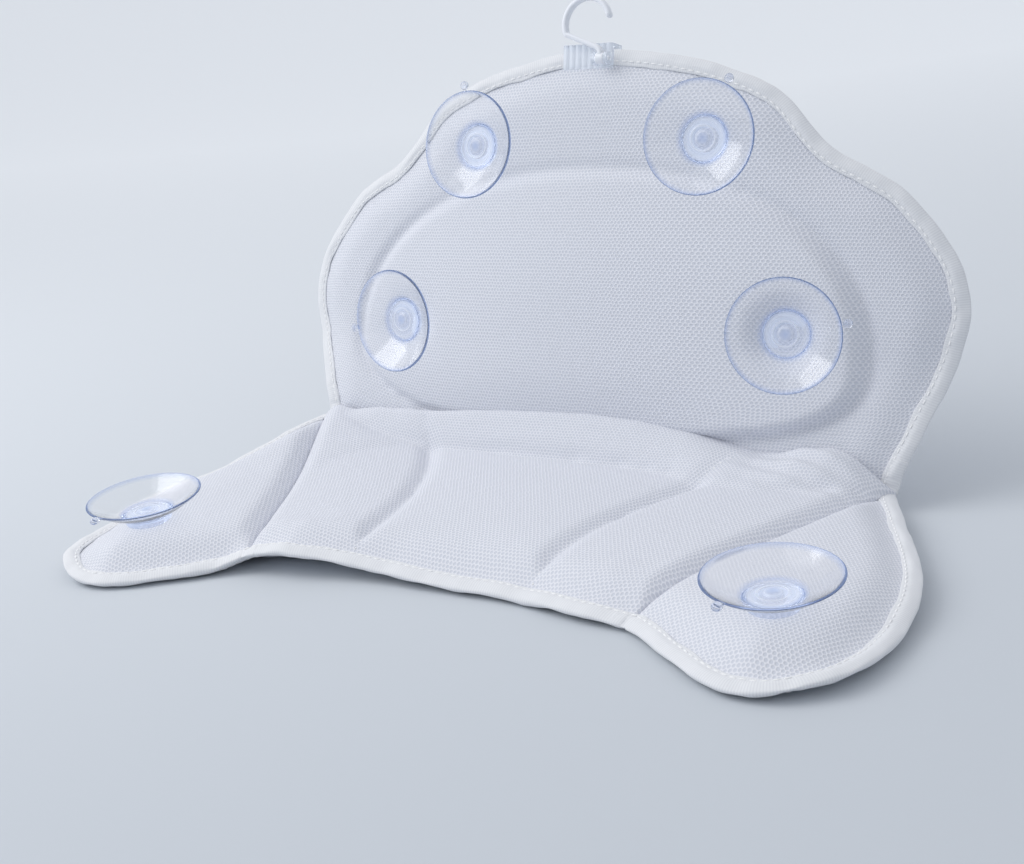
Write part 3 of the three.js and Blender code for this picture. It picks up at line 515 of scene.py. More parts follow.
@dataclass(frozen=True)
class ClearMoulding(Finish):
    """Clear moulded plastic: glassy, tinted where it is thick, with the slight haze of its mould, and with painted
    light: a pale painted highlight over what is frosted and a painted blue where light shows rims and walls blue.
    """

    ior: float = 1.45
    tint: str = "#acc8fb"
    # Painted blue where light shows rims and walls blue; for the clip, the colour of its milky layer.
    edge: str = "#9cb5e8"
    # Pale painted highlight over what is frosted.
    veil: str = "#eef3fc"
    frost: float = 0.35
    veiled: float = 0.8
    milk: float = 0.0
    depth: float = 14.0

    def dress(self, tree: bpy.types.NodeTree, shader: bpy.types.Node) -> None:
        """Lets light through, lets the tint deepen with the thickness, roughens what is frosted and paints a pale
        highlight over it, and paints on the milky layer and the painted blue.

        Args:
            tree: The material's nodes.
            shader: Its principled shader.
        """
        shader.inputs["Transmission Weight"].default_value = 1.0
        shader.inputs["IOR"].default_value = self.ior
        haze = {"Value": grain(tree, 90.0, 3.0), "To Min": self.roughness * 0.6, "To Max": self.roughness * 1.6}
        soft = add(tree, "ShaderNodeMapRange", haze).outputs["Result"]
        frost_and_painted_light = add(tree, "ShaderNodeAttribute", {"attribute_name": FROST_AND_PAINTED_LIGHT}).outputs["Fac"]
        gloss = reckon(tree, NUMBERS, "MULTIPLY_ADD", frost_and_painted_light, self.frost, soft).outputs[0]
        tree.links.new(gloss, shader.inputs["Roughness"])
        tinge = add(tree, "ShaderNodeAttribute", {"attribute_name": PAINTED_TINT}).outputs["Fac"]
        # Painted blue where the painted tint marks it, and the milky layer wherever there is milk.
        painted_tint_and_milk = reckon(tree, NUMBERS, "MAXIMUM", tinge, self.milk).outputs[0]
        # Painted highlight over what is frosted.
        painted_light_mix = reckon(tree, NUMBERS, "MULTIPLY", frost_and_painted_light, self.veiled).outputs[0]
        ray = add(tree, "ShaderNodeLightPath", {}).outputs
        cast = reckon(tree, NUMBERS, "MAXIMUM", ray["Is Shadow Ray"], ray["Is Diffuse Ray"]).outputs[0]
        edge = add(tree, "ShaderNodeBsdfDiffuse", {"Color": linear(self.edge)})
        veil = add(tree, "ShaderNodeBsdfDiffuse", {"Color": linear(self.veil)})
        clear = add(tree, "ShaderNodeBsdfTransparent", {"Color": linear(self.colour)})
        surface = shader
        for share, layer in ((painted_tint_and_milk, edge), (painted_light_mix, veil), (cast, clear)):
            layers = {0: share, 1: surface.outputs[0], 2: layer.outputs["BSDF"]}
            surface = add(tree, "ShaderNodeMixShader", layers)
        body = add(tree, "ShaderNodeVolumeAbsorption", {"Color": linear(self.tint), "Density": self.depth})
        output = next(n for n in tree.nodes if n.type == "OUTPUT_MATERIAL")
        tree.links.new(surface.outputs["Shader"], output.inputs["Surface"])
        tree.links.new(body.outputs["Volume"], output.inputs["Volume"])


@dataclass(frozen=True)
class WhiteMoulding(Finish):
    """Moulded white polypropylene: a soft gloss over a faint orange-peel skin."""

    peel: float = 700.0
    relief: tuple[float, float] = (0.12, 0.2)

    def dress(self, tree: bpy.types.NodeTree, shader: bpy.types.Node) -> None:
        """Draws the moulded skin.

        Args:
            tree: The material's nodes.
            shader: Its principled shader.
        """
        emboss(tree, shader, grain(tree, self.peel, 2.0), *self.relief)
        shader.inputs["Subsurface Weight"].default_value = 0.08
        shader.inputs["Subsurface Radius"].default_value = (0.002, 0.002, 0.002)


@dataclass(frozen=True)
class Paper(Finish):
    """Studio paper: matt and cool grey, with a faint tooth, and painted light that makes it paler towards its far left
    end.
    """

    # The colour of the painted light at the far left end.
    pale: str = "#f5f8fb"
    tooth: float = 400.0
    relief: tuple[float, float] = (0.05, 0.2)
    start: tuple[float, float] = (0.4, -0.7)
    stop: tuple[float, float] = (-1.3, 1.4)

    def dress(self, tree: bpy.types.NodeTree, shader: bpy.types.Node) -> None:
        """Draws painted light along the paper, paler towards its far left end, and the paper's tooth.

        Args:
            tree: The material's nodes.
            shader: Its principled shader.
        """
        place = add(tree, "ShaderNodeTexCoord", {}).outputs["Object"]
        span = Vector(self.stop) - Vector(self.start)
        way = (*(span / span.length_squared), 0.0)
        run = reckon(tree, VECTORS, "DOT_PRODUCT", place, way).outputs["Value"]
        shift = -Vector(self.start).dot(span) / span.length_squared
        share = add(tree, NUMBERS, {"operation": "ADD", "use_clamp": True, 0: run, 1: shift}).outputs[0]
        # Painted light: the colour eases from the paper's own grey to the pale end.
        tree.links.new(tone(tree, share, self.colour, self.pale), shader.inputs["Base Color"])
        emboss(tree, shader, grain(tree, self.tooth, 2.0), *self.relief)
        shader.inputs["Specular IOR Level"].default_value = 0.2


AIR_MESH = AirMesh("knitted polyester air mesh", "air_mesh", "#ebecf2", 0.85)
TAPE = WovenTape("woven polyester tape", "binding_tape", "#e9eaec", 0.75)
THREAD = SpunThread("spun polyester thread", "sewing_thread", "#f6f6f6", 0.6)
CUP_PVC = ClearMoulding("clear soft PVC, moulded", "clear_pvc", "#ffffff", 0.085)
CLIP_PLASTIC = ClearMoulding(
    "clear polypropylene, ribbed", "clear_clip", "#ffffff", 0.12, tint="#e6ecf5", edge="#e6ecf5", depth=10.0, milk=0.5
)
WASHER_PLASTIC = ClearMoulding("clear washer plastic", "clear_washer", "#ffffff", 0.1)
HOOK_PLASTIC = WhiteMoulding("white polypropylene, moulded", "white_plastic", "#f1f3f8", 0.35)


# Flat pattern of the pillow


@dataclass(frozen=True)
class Pattern:
    """Sizes of the flat pattern in millimetres: the waist lies on y = 0, the head above it, the back below it."""

    head_height: float = 228.0
    back_depth: float = 213.0
    waist_half: float = 176.0
    wing_half: float = 220.0
    edge_half: float = 2.1
    crown_rise: float = 7.9
    crown_shoulder: float = 17.0
    flange: float = 10.0
    middle: float = 9.5
    sweep_radius: float = 1200.0
    sweep_start: float = 70.0
    waist: tuple[float, float] = (JOINTS["waist_fold"]["pos_m"][1] / MM, JOINTS["waist_fold"]["pos_m"][2] / MM)
    tilt: float = -math.radians(JOINTS["waist_fold"]["range_deg"][0])
    edge_inset: float = 2.8
    seam_lap: float = 0.7
    notch_lift: float = 19.0
    notch_reach: tuple[float, float] = (48.0, 68.0)

    def head_edge(self, step: float) -> np.ndarray:
        """Gives the head panel's bound edge.

        Args:
            step: About how far apart the stations are.

        Returns:
            The stations, from the right notch over the top to the left one.
        """
        w, h = self.waist_half, self.head_height
        side = [(w, 0), (1.155 * w, 0.42 * h), (0.977 * w, 0.65 * h), (0.744 * w, 0.76 * h), (0.56 * w, 0.9 * h)]
        return through([*side, (0, h), *((-x, y) for x, y in side[::-1])], step)

    def seam_front(self) -> tuple[float, float]:
        """Gives the front end of the right wing's hinge seam."""
        return 0.6 * self.waist_half, -0.8 * self.back_depth

    def wing_edge(self, step: float) -> np.ndarray:
        """Gives the right wing's bound edge.

        Args:
            step: About how far apart the stations are.

        Returns:
            The stations, from the hinge seam round to the notch.
        """
        w, d = self.wing_half, self.back_depth
        tip = [(0.79 * w, -d), (0.95 * w, -0.91 * d), (w, -0.57 * d)]
        return through([self.seam_front(), *tip, (self.waist_half, 0)], step)

    def quilt(self, step: float) -> np.ndarray:
        """Gives the right inner quilt seam.

        Args:
            step: About how far apart the stations are.

        Returns:
            The stations, from the waist to the front edge.
        """
        w, d = self.waist_half, self.back_depth
        bend = np.array([(0.6 * w, 0), (0.31 * w, -0.29 * d), (0.28 * w, -0.73 * d)])
        t = np.linspace(0, 1, 60)[:, None]
        return spaced((1 - t) ** 2 * bend[0] + 2 * t * (1 - t) * bend[1] + t * t * bend[2], step)

    def front(self, step: float) -> np.ndarray:
        """Gives the back panel's bound front edge, from left to right."""
        (sx, sy), (qx, qy) = self.seam_front(), self.quilt(5)[-1]
        return through([(-sx, sy), (-qx, qy), (0, qy + 1.5), (qx, qy), (sx, sy)], step)


PATTERN = Pattern()
MIRROR = np.array([-1.0, 1.0])


class Side(Enum):
    """The viewer's left and right of the pillow, as signs of x."""

    LEFT = -1
    RIGHT = 1

    @property
    def word(self) -> str:
        """Gives the side's name in node names."""
        return self.name.lower()


def hitch(flat: np.ndarray) -> np.ndarray:
    """Gives how far the left notch is drawn up off the floor, by the head panel's lean."""
    away = (flat - (-PATTERN.waist_half, 0)) / PATTERN.notch_reach
    return PATTERN.notch_lift * np.exp(-(away**2).sum(1))


@dataclass
class Seat:
    """Where a cup's hub meets a panel: its place on the flat pattern, and how high its base stands there."""

    spot: np.ndarray
    height: float
    hub: float = 13.0
    flat_rim: float = 4.0
    pull: float = 15.0
    sunk: float = 0.5

    def press(self, flat: np.ndarray, rise: np.ndarray) -> np.ndarray:
        """Draws the cover in under the hub, as a sewn button does.

        Args:
            flat: Points on the flat pattern.
            rise: The cover's height at them.

        Returns:
            The drawn heights.
        """
        away = np.linalg.norm(flat - self.spot, axis=1)
        hold = 1 - ease(away, self.hub - self.flat_rim, self.pull)
        return rise + hold * (self.height - self.sunk - rise)


@dataclass
class Panel(ABC):
    """One stuffed panel, known by its flat pattern, its two covers and how it lies in space."""

    name: str = "panel"
    cell: float = 4.0
    pressure: float = 3.0
    slack: float = 3.0
    pressed: float = 0.4
    press_ease: tuple[float, float] = (6.5, 2.5)
    sewn_ease: tuple[float, float] = (4.0, 12.0)
    cup_ease: tuple[float, float] = (12.0, 10.0)
    floor_gap: float = 0.3
    seats: list[Seat] = field(default_factory=list)

    @abstractmethod
    def sheet(self) -> bmesh.types.BMesh:
        """Cuts the panel's flat sheet, in millimetres."""

    @abstractmethod
    def sewn(self, flat: np.ndarray) -> np.ndarray:
        """Measures how far points are from the nearest sewn line."""

    @abstractmethod
    def bound(self, flat: np.ndarray) -> np.ndarray:
        """Measures how far points are from the bound edge."""

    @abstractmethod
    def rise(self, flat: np.ndarray) -> np.ndarray:
        """Gives the rear cover's height over the middle layer."""

    @abstractmethod
    def sink(self, flat: np.ndarray) -> np.ndarray:
        """Gives the face cover's depth under the middle layer."""

    @abstractmethod
    def place(self, flat: np.ndarray, height: np.ndarray) -> np.ndarray:
        """Takes points of the flat pattern to their places in space, in metres."""

    def thread_run(self, flat: np.ndarray) -> np.ndarray:
        """Gives the knit's own coordinates at points of the flat pattern."""
        return flat

    def seat_cup(self, joint: str) -> None:
        """Notes where a cup's hub meets this panel.

        Args:
            joint: The joint that the cup turns on.
        """
        target = np.array(JOINTS[joint]["pos_m"])
        guess = np.array([target[0] / MM, 0.0, 0.0])
        nudge = 0.5
        for _ in range(60):
            here = self.place(guess[None, :2], guess[None, 2])[0]
            steps = []
            for k in range(3):
                nudged = guess.copy()
                nudged[k] += nudge
                steps.append((self.place(nudged[None, :2], nudged[None, 2])[0] - here) / nudge)
            guess = guess + np.linalg.lstsq(np.array(steps).T, target - here, rcond=None)[0]
        self.seats.append(Seat(guess[:2], guess[2]))

    def pad(self) -> bpy.types.Object:
        """Sews and stuffs the panel.

        Returns:
            The stuffed panel.
        """
        bm = self.sheet()
        bm.verts.index_update()
        flat = np.array([v.co.xy for v in bm.verts])
        knit = self.thread_run(flat) * MM
        layer = bm.loops.layers.uv.new(UV_NAME)
        for face in bm.faces:
            for loop in face.loops:
                loop[layer].uv = knit[loop.vert.index]
        grown = set(bmesh.ops.extrude_face_region(bm, geom=bm.faces[:], use_keep_orig=True)["geom"])
        flat = np.array([v.co.xy for v in bm.verts])
        upper = np.array([v in grown for v in bm.verts])
        top = self.rise(flat)
        for seat in self.seats:
            top = seat.press(flat, top)
        flatten = self.pressed + (1 - self.pressed) * ease(self.bound(flat), *self.press_ease)
        spots = self.place(flat, np.where(upper, top, -self.sink(flat)) * flatten)
        for vert, spot in zip(bm.verts, spots):
            vert.co = spot
        bmesh.ops.recalc_face_normals(bm, faces=bm.faces[:])
        made = piece(f"{self.name}_pad", bm, AIR_MESH)
        hold = 1 - ease(self.sewn(flat), *self.sewn_ease)
        for seat in self.seats:
            hold = np.maximum(hold, 1 - ease(np.linalg.norm(flat - seat.spot, axis=1), *self.cup_ease))
        stuff(made, hold, self.pressure, self.slack)
        self.settle(made)
        rounded(made, 1)
        return made

    def settle(self, pad: bpy.types.Object) -> None:
        """Flattens what would press into the floor."""
        for vert in pad.data.vertices:
            vert.co.z = max(vert.co.z, self.floor_gap * MM)


def stuff(pad: bpy.types.Object, hold: np.ndarray, pressure: float, slack: float) -> None:
    """Blows a sewn pad up as cloth, with its seams held, and keeps the result.

    Args:
        pad: The closed pad.
        hold: How firmly each vertex is held, from 0 to 1.
        pressure: The stuffing's push.
        slack: How far a vertex may move, in millimetres.
    """
    group = pad.vertex_groups.new(name="sewn")
    for index, weight in enumerate(hold):
        group.add([index], float(weight), "REPLACE")
    start = np.array([v.co for v in pad.data.vertices])
    cloth = pad.modifiers.new("stuffing", "CLOTH")
    cloth.settings.vertex_group_mass = group.name
    cloth.settings.quality = 4
    cloth.settings.mass = 0.2
    cloth.settings.tension_stiffness = cloth.settings.compression_stiffness = 25
    cloth.settings.shear_stiffness = 8
    cloth.settings.bending_stiffness = 0.6
    cloth.settings.use_pressure = True
    cloth.settings.uniform_pressure_force = pressure
    cloth.settings.effector_weights.gravity = 0
    cloth.collision_settings.use_collision = False
    last = 20
    cloth.point_cache.frame_start, cloth.point_cache.frame_end = 1, last
    scene = bpy.context.scene
    for step in range(1, last + 1):
        scene.frame_set(step)
    shaped = pad.evaluated_get(bpy.context.evaluated_depsgraph_get()).to_mesh()
    moved = np.array([v.co for v in shaped.vertices]) - start
    pad.modifiers.remove(cloth)
    scene.frame_set(1)
    reach = np.linalg.norm(moved, axis=1)
    limit = slack * MM
    moved *= (limit * np.tanh(reach / limit) / np.maximum(reach, 1e-9))[:, None]
    for vert, spot in zip(pad.data.vertices, start + moved):
        vert.co = spot
    pad.vertex_groups.clear()


def cut_sheet(ring: np.ndarray, cell: float, turn: float = 0.0) -> bmesh.types.BMesh:
    """Cuts a flat sheet of square cells to an outline.

    Args:
        ring: The outline's corners in order.
        cell: Width of a cell, in millimetres.
        turn: How far the rows of cells are turned, in radians.

    Returns:
        The sheet, its edge drawn on to the outline.
    """
    spin = np.array([[math.cos(turn), math.sin(turn)], [-math.sin(turn), math.cos(turn)]])
    level = ring @ spin.T
    low, high = level.min(0), level.max(0)
    counts = np.maximum(np.round((high - low) / cell).astype(int), 2)
    bm = bmesh.new()
    bmesh.ops.create_grid(bm, x_segments=int(counts[0]), y_segments=int(counts[1]), size=1.0)
    unit = np.array([v.co.xy for v in bm.verts])
    unit = (unit - unit.min(0)) / (unit.max(0) - unit.min(0))
    spots = low + unit * (high - low)
    closed = np.vstack([level, level[:1]])
    outside = ~within(spots, level) & (distance(spots, closed) > 0.4 * cell)
    for vert, spot in zip(bm.verts, spots):
        vert.co = (*spot, 0)
    bmesh.ops.delete(bm, geom=[v for v, out in zip(bm.verts, outside) if out], context="VERTS")
    lone = [v for v in bm.verts if len(v.link_faces) == 0]
    bmesh.ops.delete(bm, geom=lone, context="VERTS")
    rim = [v for v in bm.verts if v.is_boundary]
    for vert, spot in zip(rim, nearest(np.array([v.co.xy for v in rim]), closed)):
        vert.co = (*spot, 0)
    bmesh.ops.rotate(bm, verts=bm.verts[:], cent=(0, 0, 0), matrix=Matrix.Rotation(turn, 3, "Z"))
    return bm


@dataclass
class LowerPanel(Panel):
    """A panel that lies on the floor, cup side up, and drapes at its front edge."""

    crease: float = 10.0
    drape_reach: float = 30.0
    slip: float = 7.0
    slip_half: tuple[float, float] = (116.0, 45.0)
    slip_middle: tuple[float, float] = (-158.0, 38.0)

    def drape(self, flat: np.ndarray) -> np.ndarray:
        """Gives how far the panel sags or arches at its front edge.

        Args:
            flat: Points on the flat pattern.

        Returns:
            The change in height, in millimetres.
        """
        x, y = flat.T
        stops = [-220, -190, -150, -119, -103, -84, -60, -30, 10, 38, 49, 64, 90, 106, 125, 170, 220]
        heights = [-3.5, -5.5, -6.0, -5.0, 1.5, 5.0, 2.0, -2.5, -5.5, -5.4, -6.4, -4.6, -4.6, -6.4, -5.6, -5.5, -3.5]
        sag = np.interp(x, stops, heights)
        edge = np.interp(np.abs(x), [0, 49, 106, 174, 220], [-155, -155, -170, -213, -150])
        return sag * np.exp(-(((y - edge) / self.drape_reach) ** 2))

    def place(self, flat: np.ndarray, height: np.ndarray) -> np.ndarray:
        """Lays points of the flat pattern on the floor.

        Args:
            flat: Points on the flat pattern.
            height: Their heights over the middle layer.

        Returns:
            Their places in metres.
        """
        x, y = flat.T
        (half, span), (middle, reach) = self.slip_half, self.slip_middle
        slip = self.slip * smooth((half - np.abs(x)) / span) * np.exp(-(((y - middle) / reach) ** 2))
        z = PATTERN.middle + self.drape(flat) + hitch(flat) + height
        return np.stack([x, y - slip + PATTERN.waist[0], z], 1) * MM


@dataclass
class BackPanel(LowerPanel):
    """The quilted back panel: a centre cell between two channels, with a puckered roll along the waist."""

    name: str = "back"
    columns: int = 96
    rows: int = 60
    finer: float = 0.24
    draw_in: float = 1.9
    quilt_floor: float = 0.4
    roll_top: float = -5.5
    roll_wall: float = 0.55
    heel_full: tuple[float, float] = (0.6, 0.36)
    heel_right: tuple[float, float] = (90.0, 45.0)
    heel_ends: tuple[float, float] = (160.0, 25.0)
    pucker: float = 1.8
    pucker_pitch: float = 10.5
    pucker_slant: float = 0.22
    pucker_start: float = 130.0
    pucker_at: tuple[float, float] = (132.0, -20.0)
    pucker_reach: tuple[float, float] = (26.0, 14.0)
    climb_share: float = 0.7
    under_shoulder: float = 14.0

    def sheet(self) -> bmesh.types.BMesh:
        """Cuts the sheet between the two hinge seams, with finer rows towards the waist.

        Returns:
            The flat sheet.
        """
        bm = bmesh.new()
        bmesh.ops.create_grid(bm, x_segments=self.columns, y_segments=self.rows, size=1.0)
        unit = np.array([v.co.xy for v in bm.verts])
        unit = (unit - unit.min(0)) / (unit.max(0) - unit.min(0))
        run = unit[:, 1] + self.finer * np.sin(np.pi * unit[:, 1]) * unit[:, 1]
        sx = PATTERN.seam_front()[0]
        front = PATTERN.front(3)
        half = sx + (PATTERN.waist_half - sx) * run + PATTERN.seam_lap
        x = (2 * unit[:, 0] - 1) * half
        edge = np.interp((2 * unit[:, 0] - 1) * sx, front[:, 0], front[:, 1]) + PATTERN.edge_inset
        spots = np.stack([x, edge * (1 - run)], 1)
        inside = (np.abs(unit - 0.5) < 0.499).all(1)
        for line in self.quilts():
            near = nearest(spots, line)
            drawn = inside & (np.linalg.norm(spots - near, axis=1) < self.draw_in)
            spots[drawn] = near[drawn]
        for vert, spot in zip(bm.verts, spots):
            vert.co = (*spot, 0)
        return bm

    def quilts(self) -> list[np.ndarray]:
        """Gives the two inner quilt seams."""
        line = PATTERN.quilt(4)
        return [line, line * MIRROR]

    def hinges(self) -> list[np.ndarray]:
        """Gives the two hinge seams, from the waist to the front."""
        line = np.array([(PATTERN.waist_half, 0.0), PATTERN.seam_front()])
        return [line, line * MIRROR]

    def bound(self, flat: np.ndarray) -> np.ndarray:
        """Measures how far points are from the bound edge."""
        return distance(flat, PATTERN.front(6))

    def sewn(self, flat: np.ndarray) -> np.ndarray:
        """Measures how far points are from the nearest sewn line."""
        edge = self.bound(flat) - PATTERN.flange
        return np.minimum.reduce([edge, -flat[:, 1], *(distance(flat, s) for s in self.quilts() + self.hinges())])

    def crest(self, x: np.ndarray) -> np.ndarray:
        """Gives how high the roll of gathered mesh stands over the middle layer.

        Args:
            x: Places across the waist.

        Returns:
            The roll's height at each.
        """
        stops = [-176, -158, -135, -114, -68, -21, 10, 40, 69, 89, 106, 118, 130, 146, 156, 165, 176]
        tops = [3, 8, 19, 25, 30.5, 33, 33.5, 31.5, 27, 21.5, 18, 19, 23.5, 25, 21, 13, 3]
        return np.interp(x, stops, tops)

    def roll(self, flat: np.ndarray, plain: np.ndarray) -> tuple[np.ndarray, np.ndarray]:
        """Gathers the mesh into a roll along the waist.

        Args:
            flat: Points on the flat pattern.
            plain: The cover's height without the roll.

        Returns:
            The cover's height with the roll, and how far the knit climbs over it.
        """
        x, y = flat.T
        stops = [-176, -110, -60, 0, 40, 65, 90, 112, 140, 176]
        foot = np.interp(x, stops, [-14, -17, -18, -20, -23, -27, -36, -38, -28, -14])
        top = self.roll_top
        crest = np.maximum(self.crest(x), plain)
        share = np.clip((y - foot) / (top - foot), 0, 1)
        wall = self.roll_wall * np.sqrt(1 - (1 - share) ** 2) + (1 - self.roll_wall) * smooth(share)
        front = plain + (crest - plain) * wall
        tuck = np.clip((y - top) / -top, 0, 1)
        (low, more), (middle, reach), (half, fade) = self.heel_full, self.heel_right, self.heel_ends
        full = low + more * np.exp(-(((x - middle) / reach) ** 2))
        heel = PATTERN.edge_half + full * (crest - PATTERN.edge_half) * smooth((half - np.abs(x)) / fade)
        back = heel + (crest - heel) * np.sqrt(1 - tuck**2)
        fold = np.where(y < top, front, back)
        near = np.exp(-(((flat - self.pucker_at) / self.pucker_reach) ** 2).sum(1))
        waves = (y + self.pucker_slant * (x - self.pucker_start)) / self.pucker_pitch
        fold = fold + self.pucker * near * np.sin(2 * np.pi * waves)
        climb = np.where(y < top, front - plain, 2 * crest - plain - back)
        return np.maximum(fold, PATTERN.edge_half), climb

    def plain(self, flat: np.ndarray) -> np.ndarray:
        """Gives the rear cover's height without the roll.

        Args:
            flat: Points on the flat pattern.

        Returns:
            The heights over the middle layer.
        """
        edge = crown((self.bound(flat) - PATTERN.flange) / PATTERN.crown_shoulder)
        hinge = crown(np.minimum.reduce([distance(flat, s) for s in self.hinges()]) / self.crease)
        quilt = crown(np.minimum.reduce([distance(flat, s) for s in self.quilts()]) / self.crease)
        quilt = self.quilt_floor + (1 - self.quilt_floor) * quilt
        return PATTERN.edge_half + PATTERN.crown_rise * np.minimum.reduce([edge, hinge, quilt])

    def rise(self, flat: np.ndarray) -> np.ndarray:
        """Gives the rear cover's height over the middle layer."""
        return self.roll(flat, self.plain(flat))[0]

    def sink(self, flat: np.ndarray) -> np.ndarray:
        """Gives the face cover's depth under the middle layer."""
        waist = PATTERN.edge_half + PATTERN.crown_rise * crown(-flat[:, 1] / self.under_shoulder)
        return np.minimum(self.plain(flat), waist)

    def thread_run(self, flat: np.ndarray) -> np.ndarray:
        """Gives the knit's own coordinates, which climb over the roll."""
        climb = self.roll(flat, self.plain(flat))[1]
        return flat + np.stack([np.zeros(len(flat)), self.climb_share * climb], 1)


@dataclass
class WingPanel(LowerPanel):
    """A wing: a stuffed leaf that folds on the hinge seam."""

    side: Side = Side.RIGHT

    def __post_init__(self) -> None:
        """Names the wing after its side."""
        self.name = f"wing_{self.side.word}"

    @property
    def sign(self) -> np.ndarray:
        """Gives what takes the right wing's pattern to this side."""
        return np.array([self.side.value, 1.0])

    def edge(self, step: float) -> np.ndarray:
        """Gives the wing's bound edge, from its hinge seam round to the notch."""
        return PATTERN.wing_edge(step) * self.sign

    def hinge(self) -> np.ndarray:
        """Gives the wing's hinge seam, from the notch to the front."""
        return np.array([(PATTERN.waist_half, 0.0), PATTERN.seam_front()]) * self.sign

    def sheet(self) -> bmesh.types.BMesh:
        """Cuts the wing's leaf, its rows in line with the hinge seam.

        Returns:
            The flat sheet.
        """
        line = self.edge(4)
        ring = line + leftward(line) * self.side.value * PATTERN.edge_inset
        span = self.hinge()[1] - self.hinge()[0]
        lap = np.array([span[1], -span[0]]) / np.linalg.norm(span) * PATTERN.seam_lap * self.side.value
        ring[0], ring[-1] = line[0] + lap, line[-1] + lap
        return cut_sheet(ring, self.cell, math.atan2(span[1], span[0]))

    def bound(self, flat: np.ndarray) -> np.ndarray:
        """Measures how far points are from the bound edge."""
        return distance(flat, self.edge(6))

    def sewn(self, flat: np.ndarray) -> np.ndarray:
        """Measures how far points are from the nearest sewn line."""
        return np.minimum(self.bound(flat) - PATTERN.flange, distance(flat, self.hinge()))

    def rise(self, flat: np.ndarray) -> np.ndarray:
        """Gives the rear cover's height over the middle layer.

        Args:
            flat: Points on the flat pattern.

        Returns:
            The heights.
        """
        edge = crown((self.bound(flat) - PATTERN.flange) / PATTERN.crown_shoulder)
        hinge = crown(distance(flat, self.hinge()) / self.crease)
        return PATTERN.edge_half + PATTERN.crown_rise * np.minimum(edge, hinge)

    def sink(self, flat: np.ndarray) -> np.ndarray:
        """Gives the face cover's depth under the middle layer."""
        return self.rise(flat)


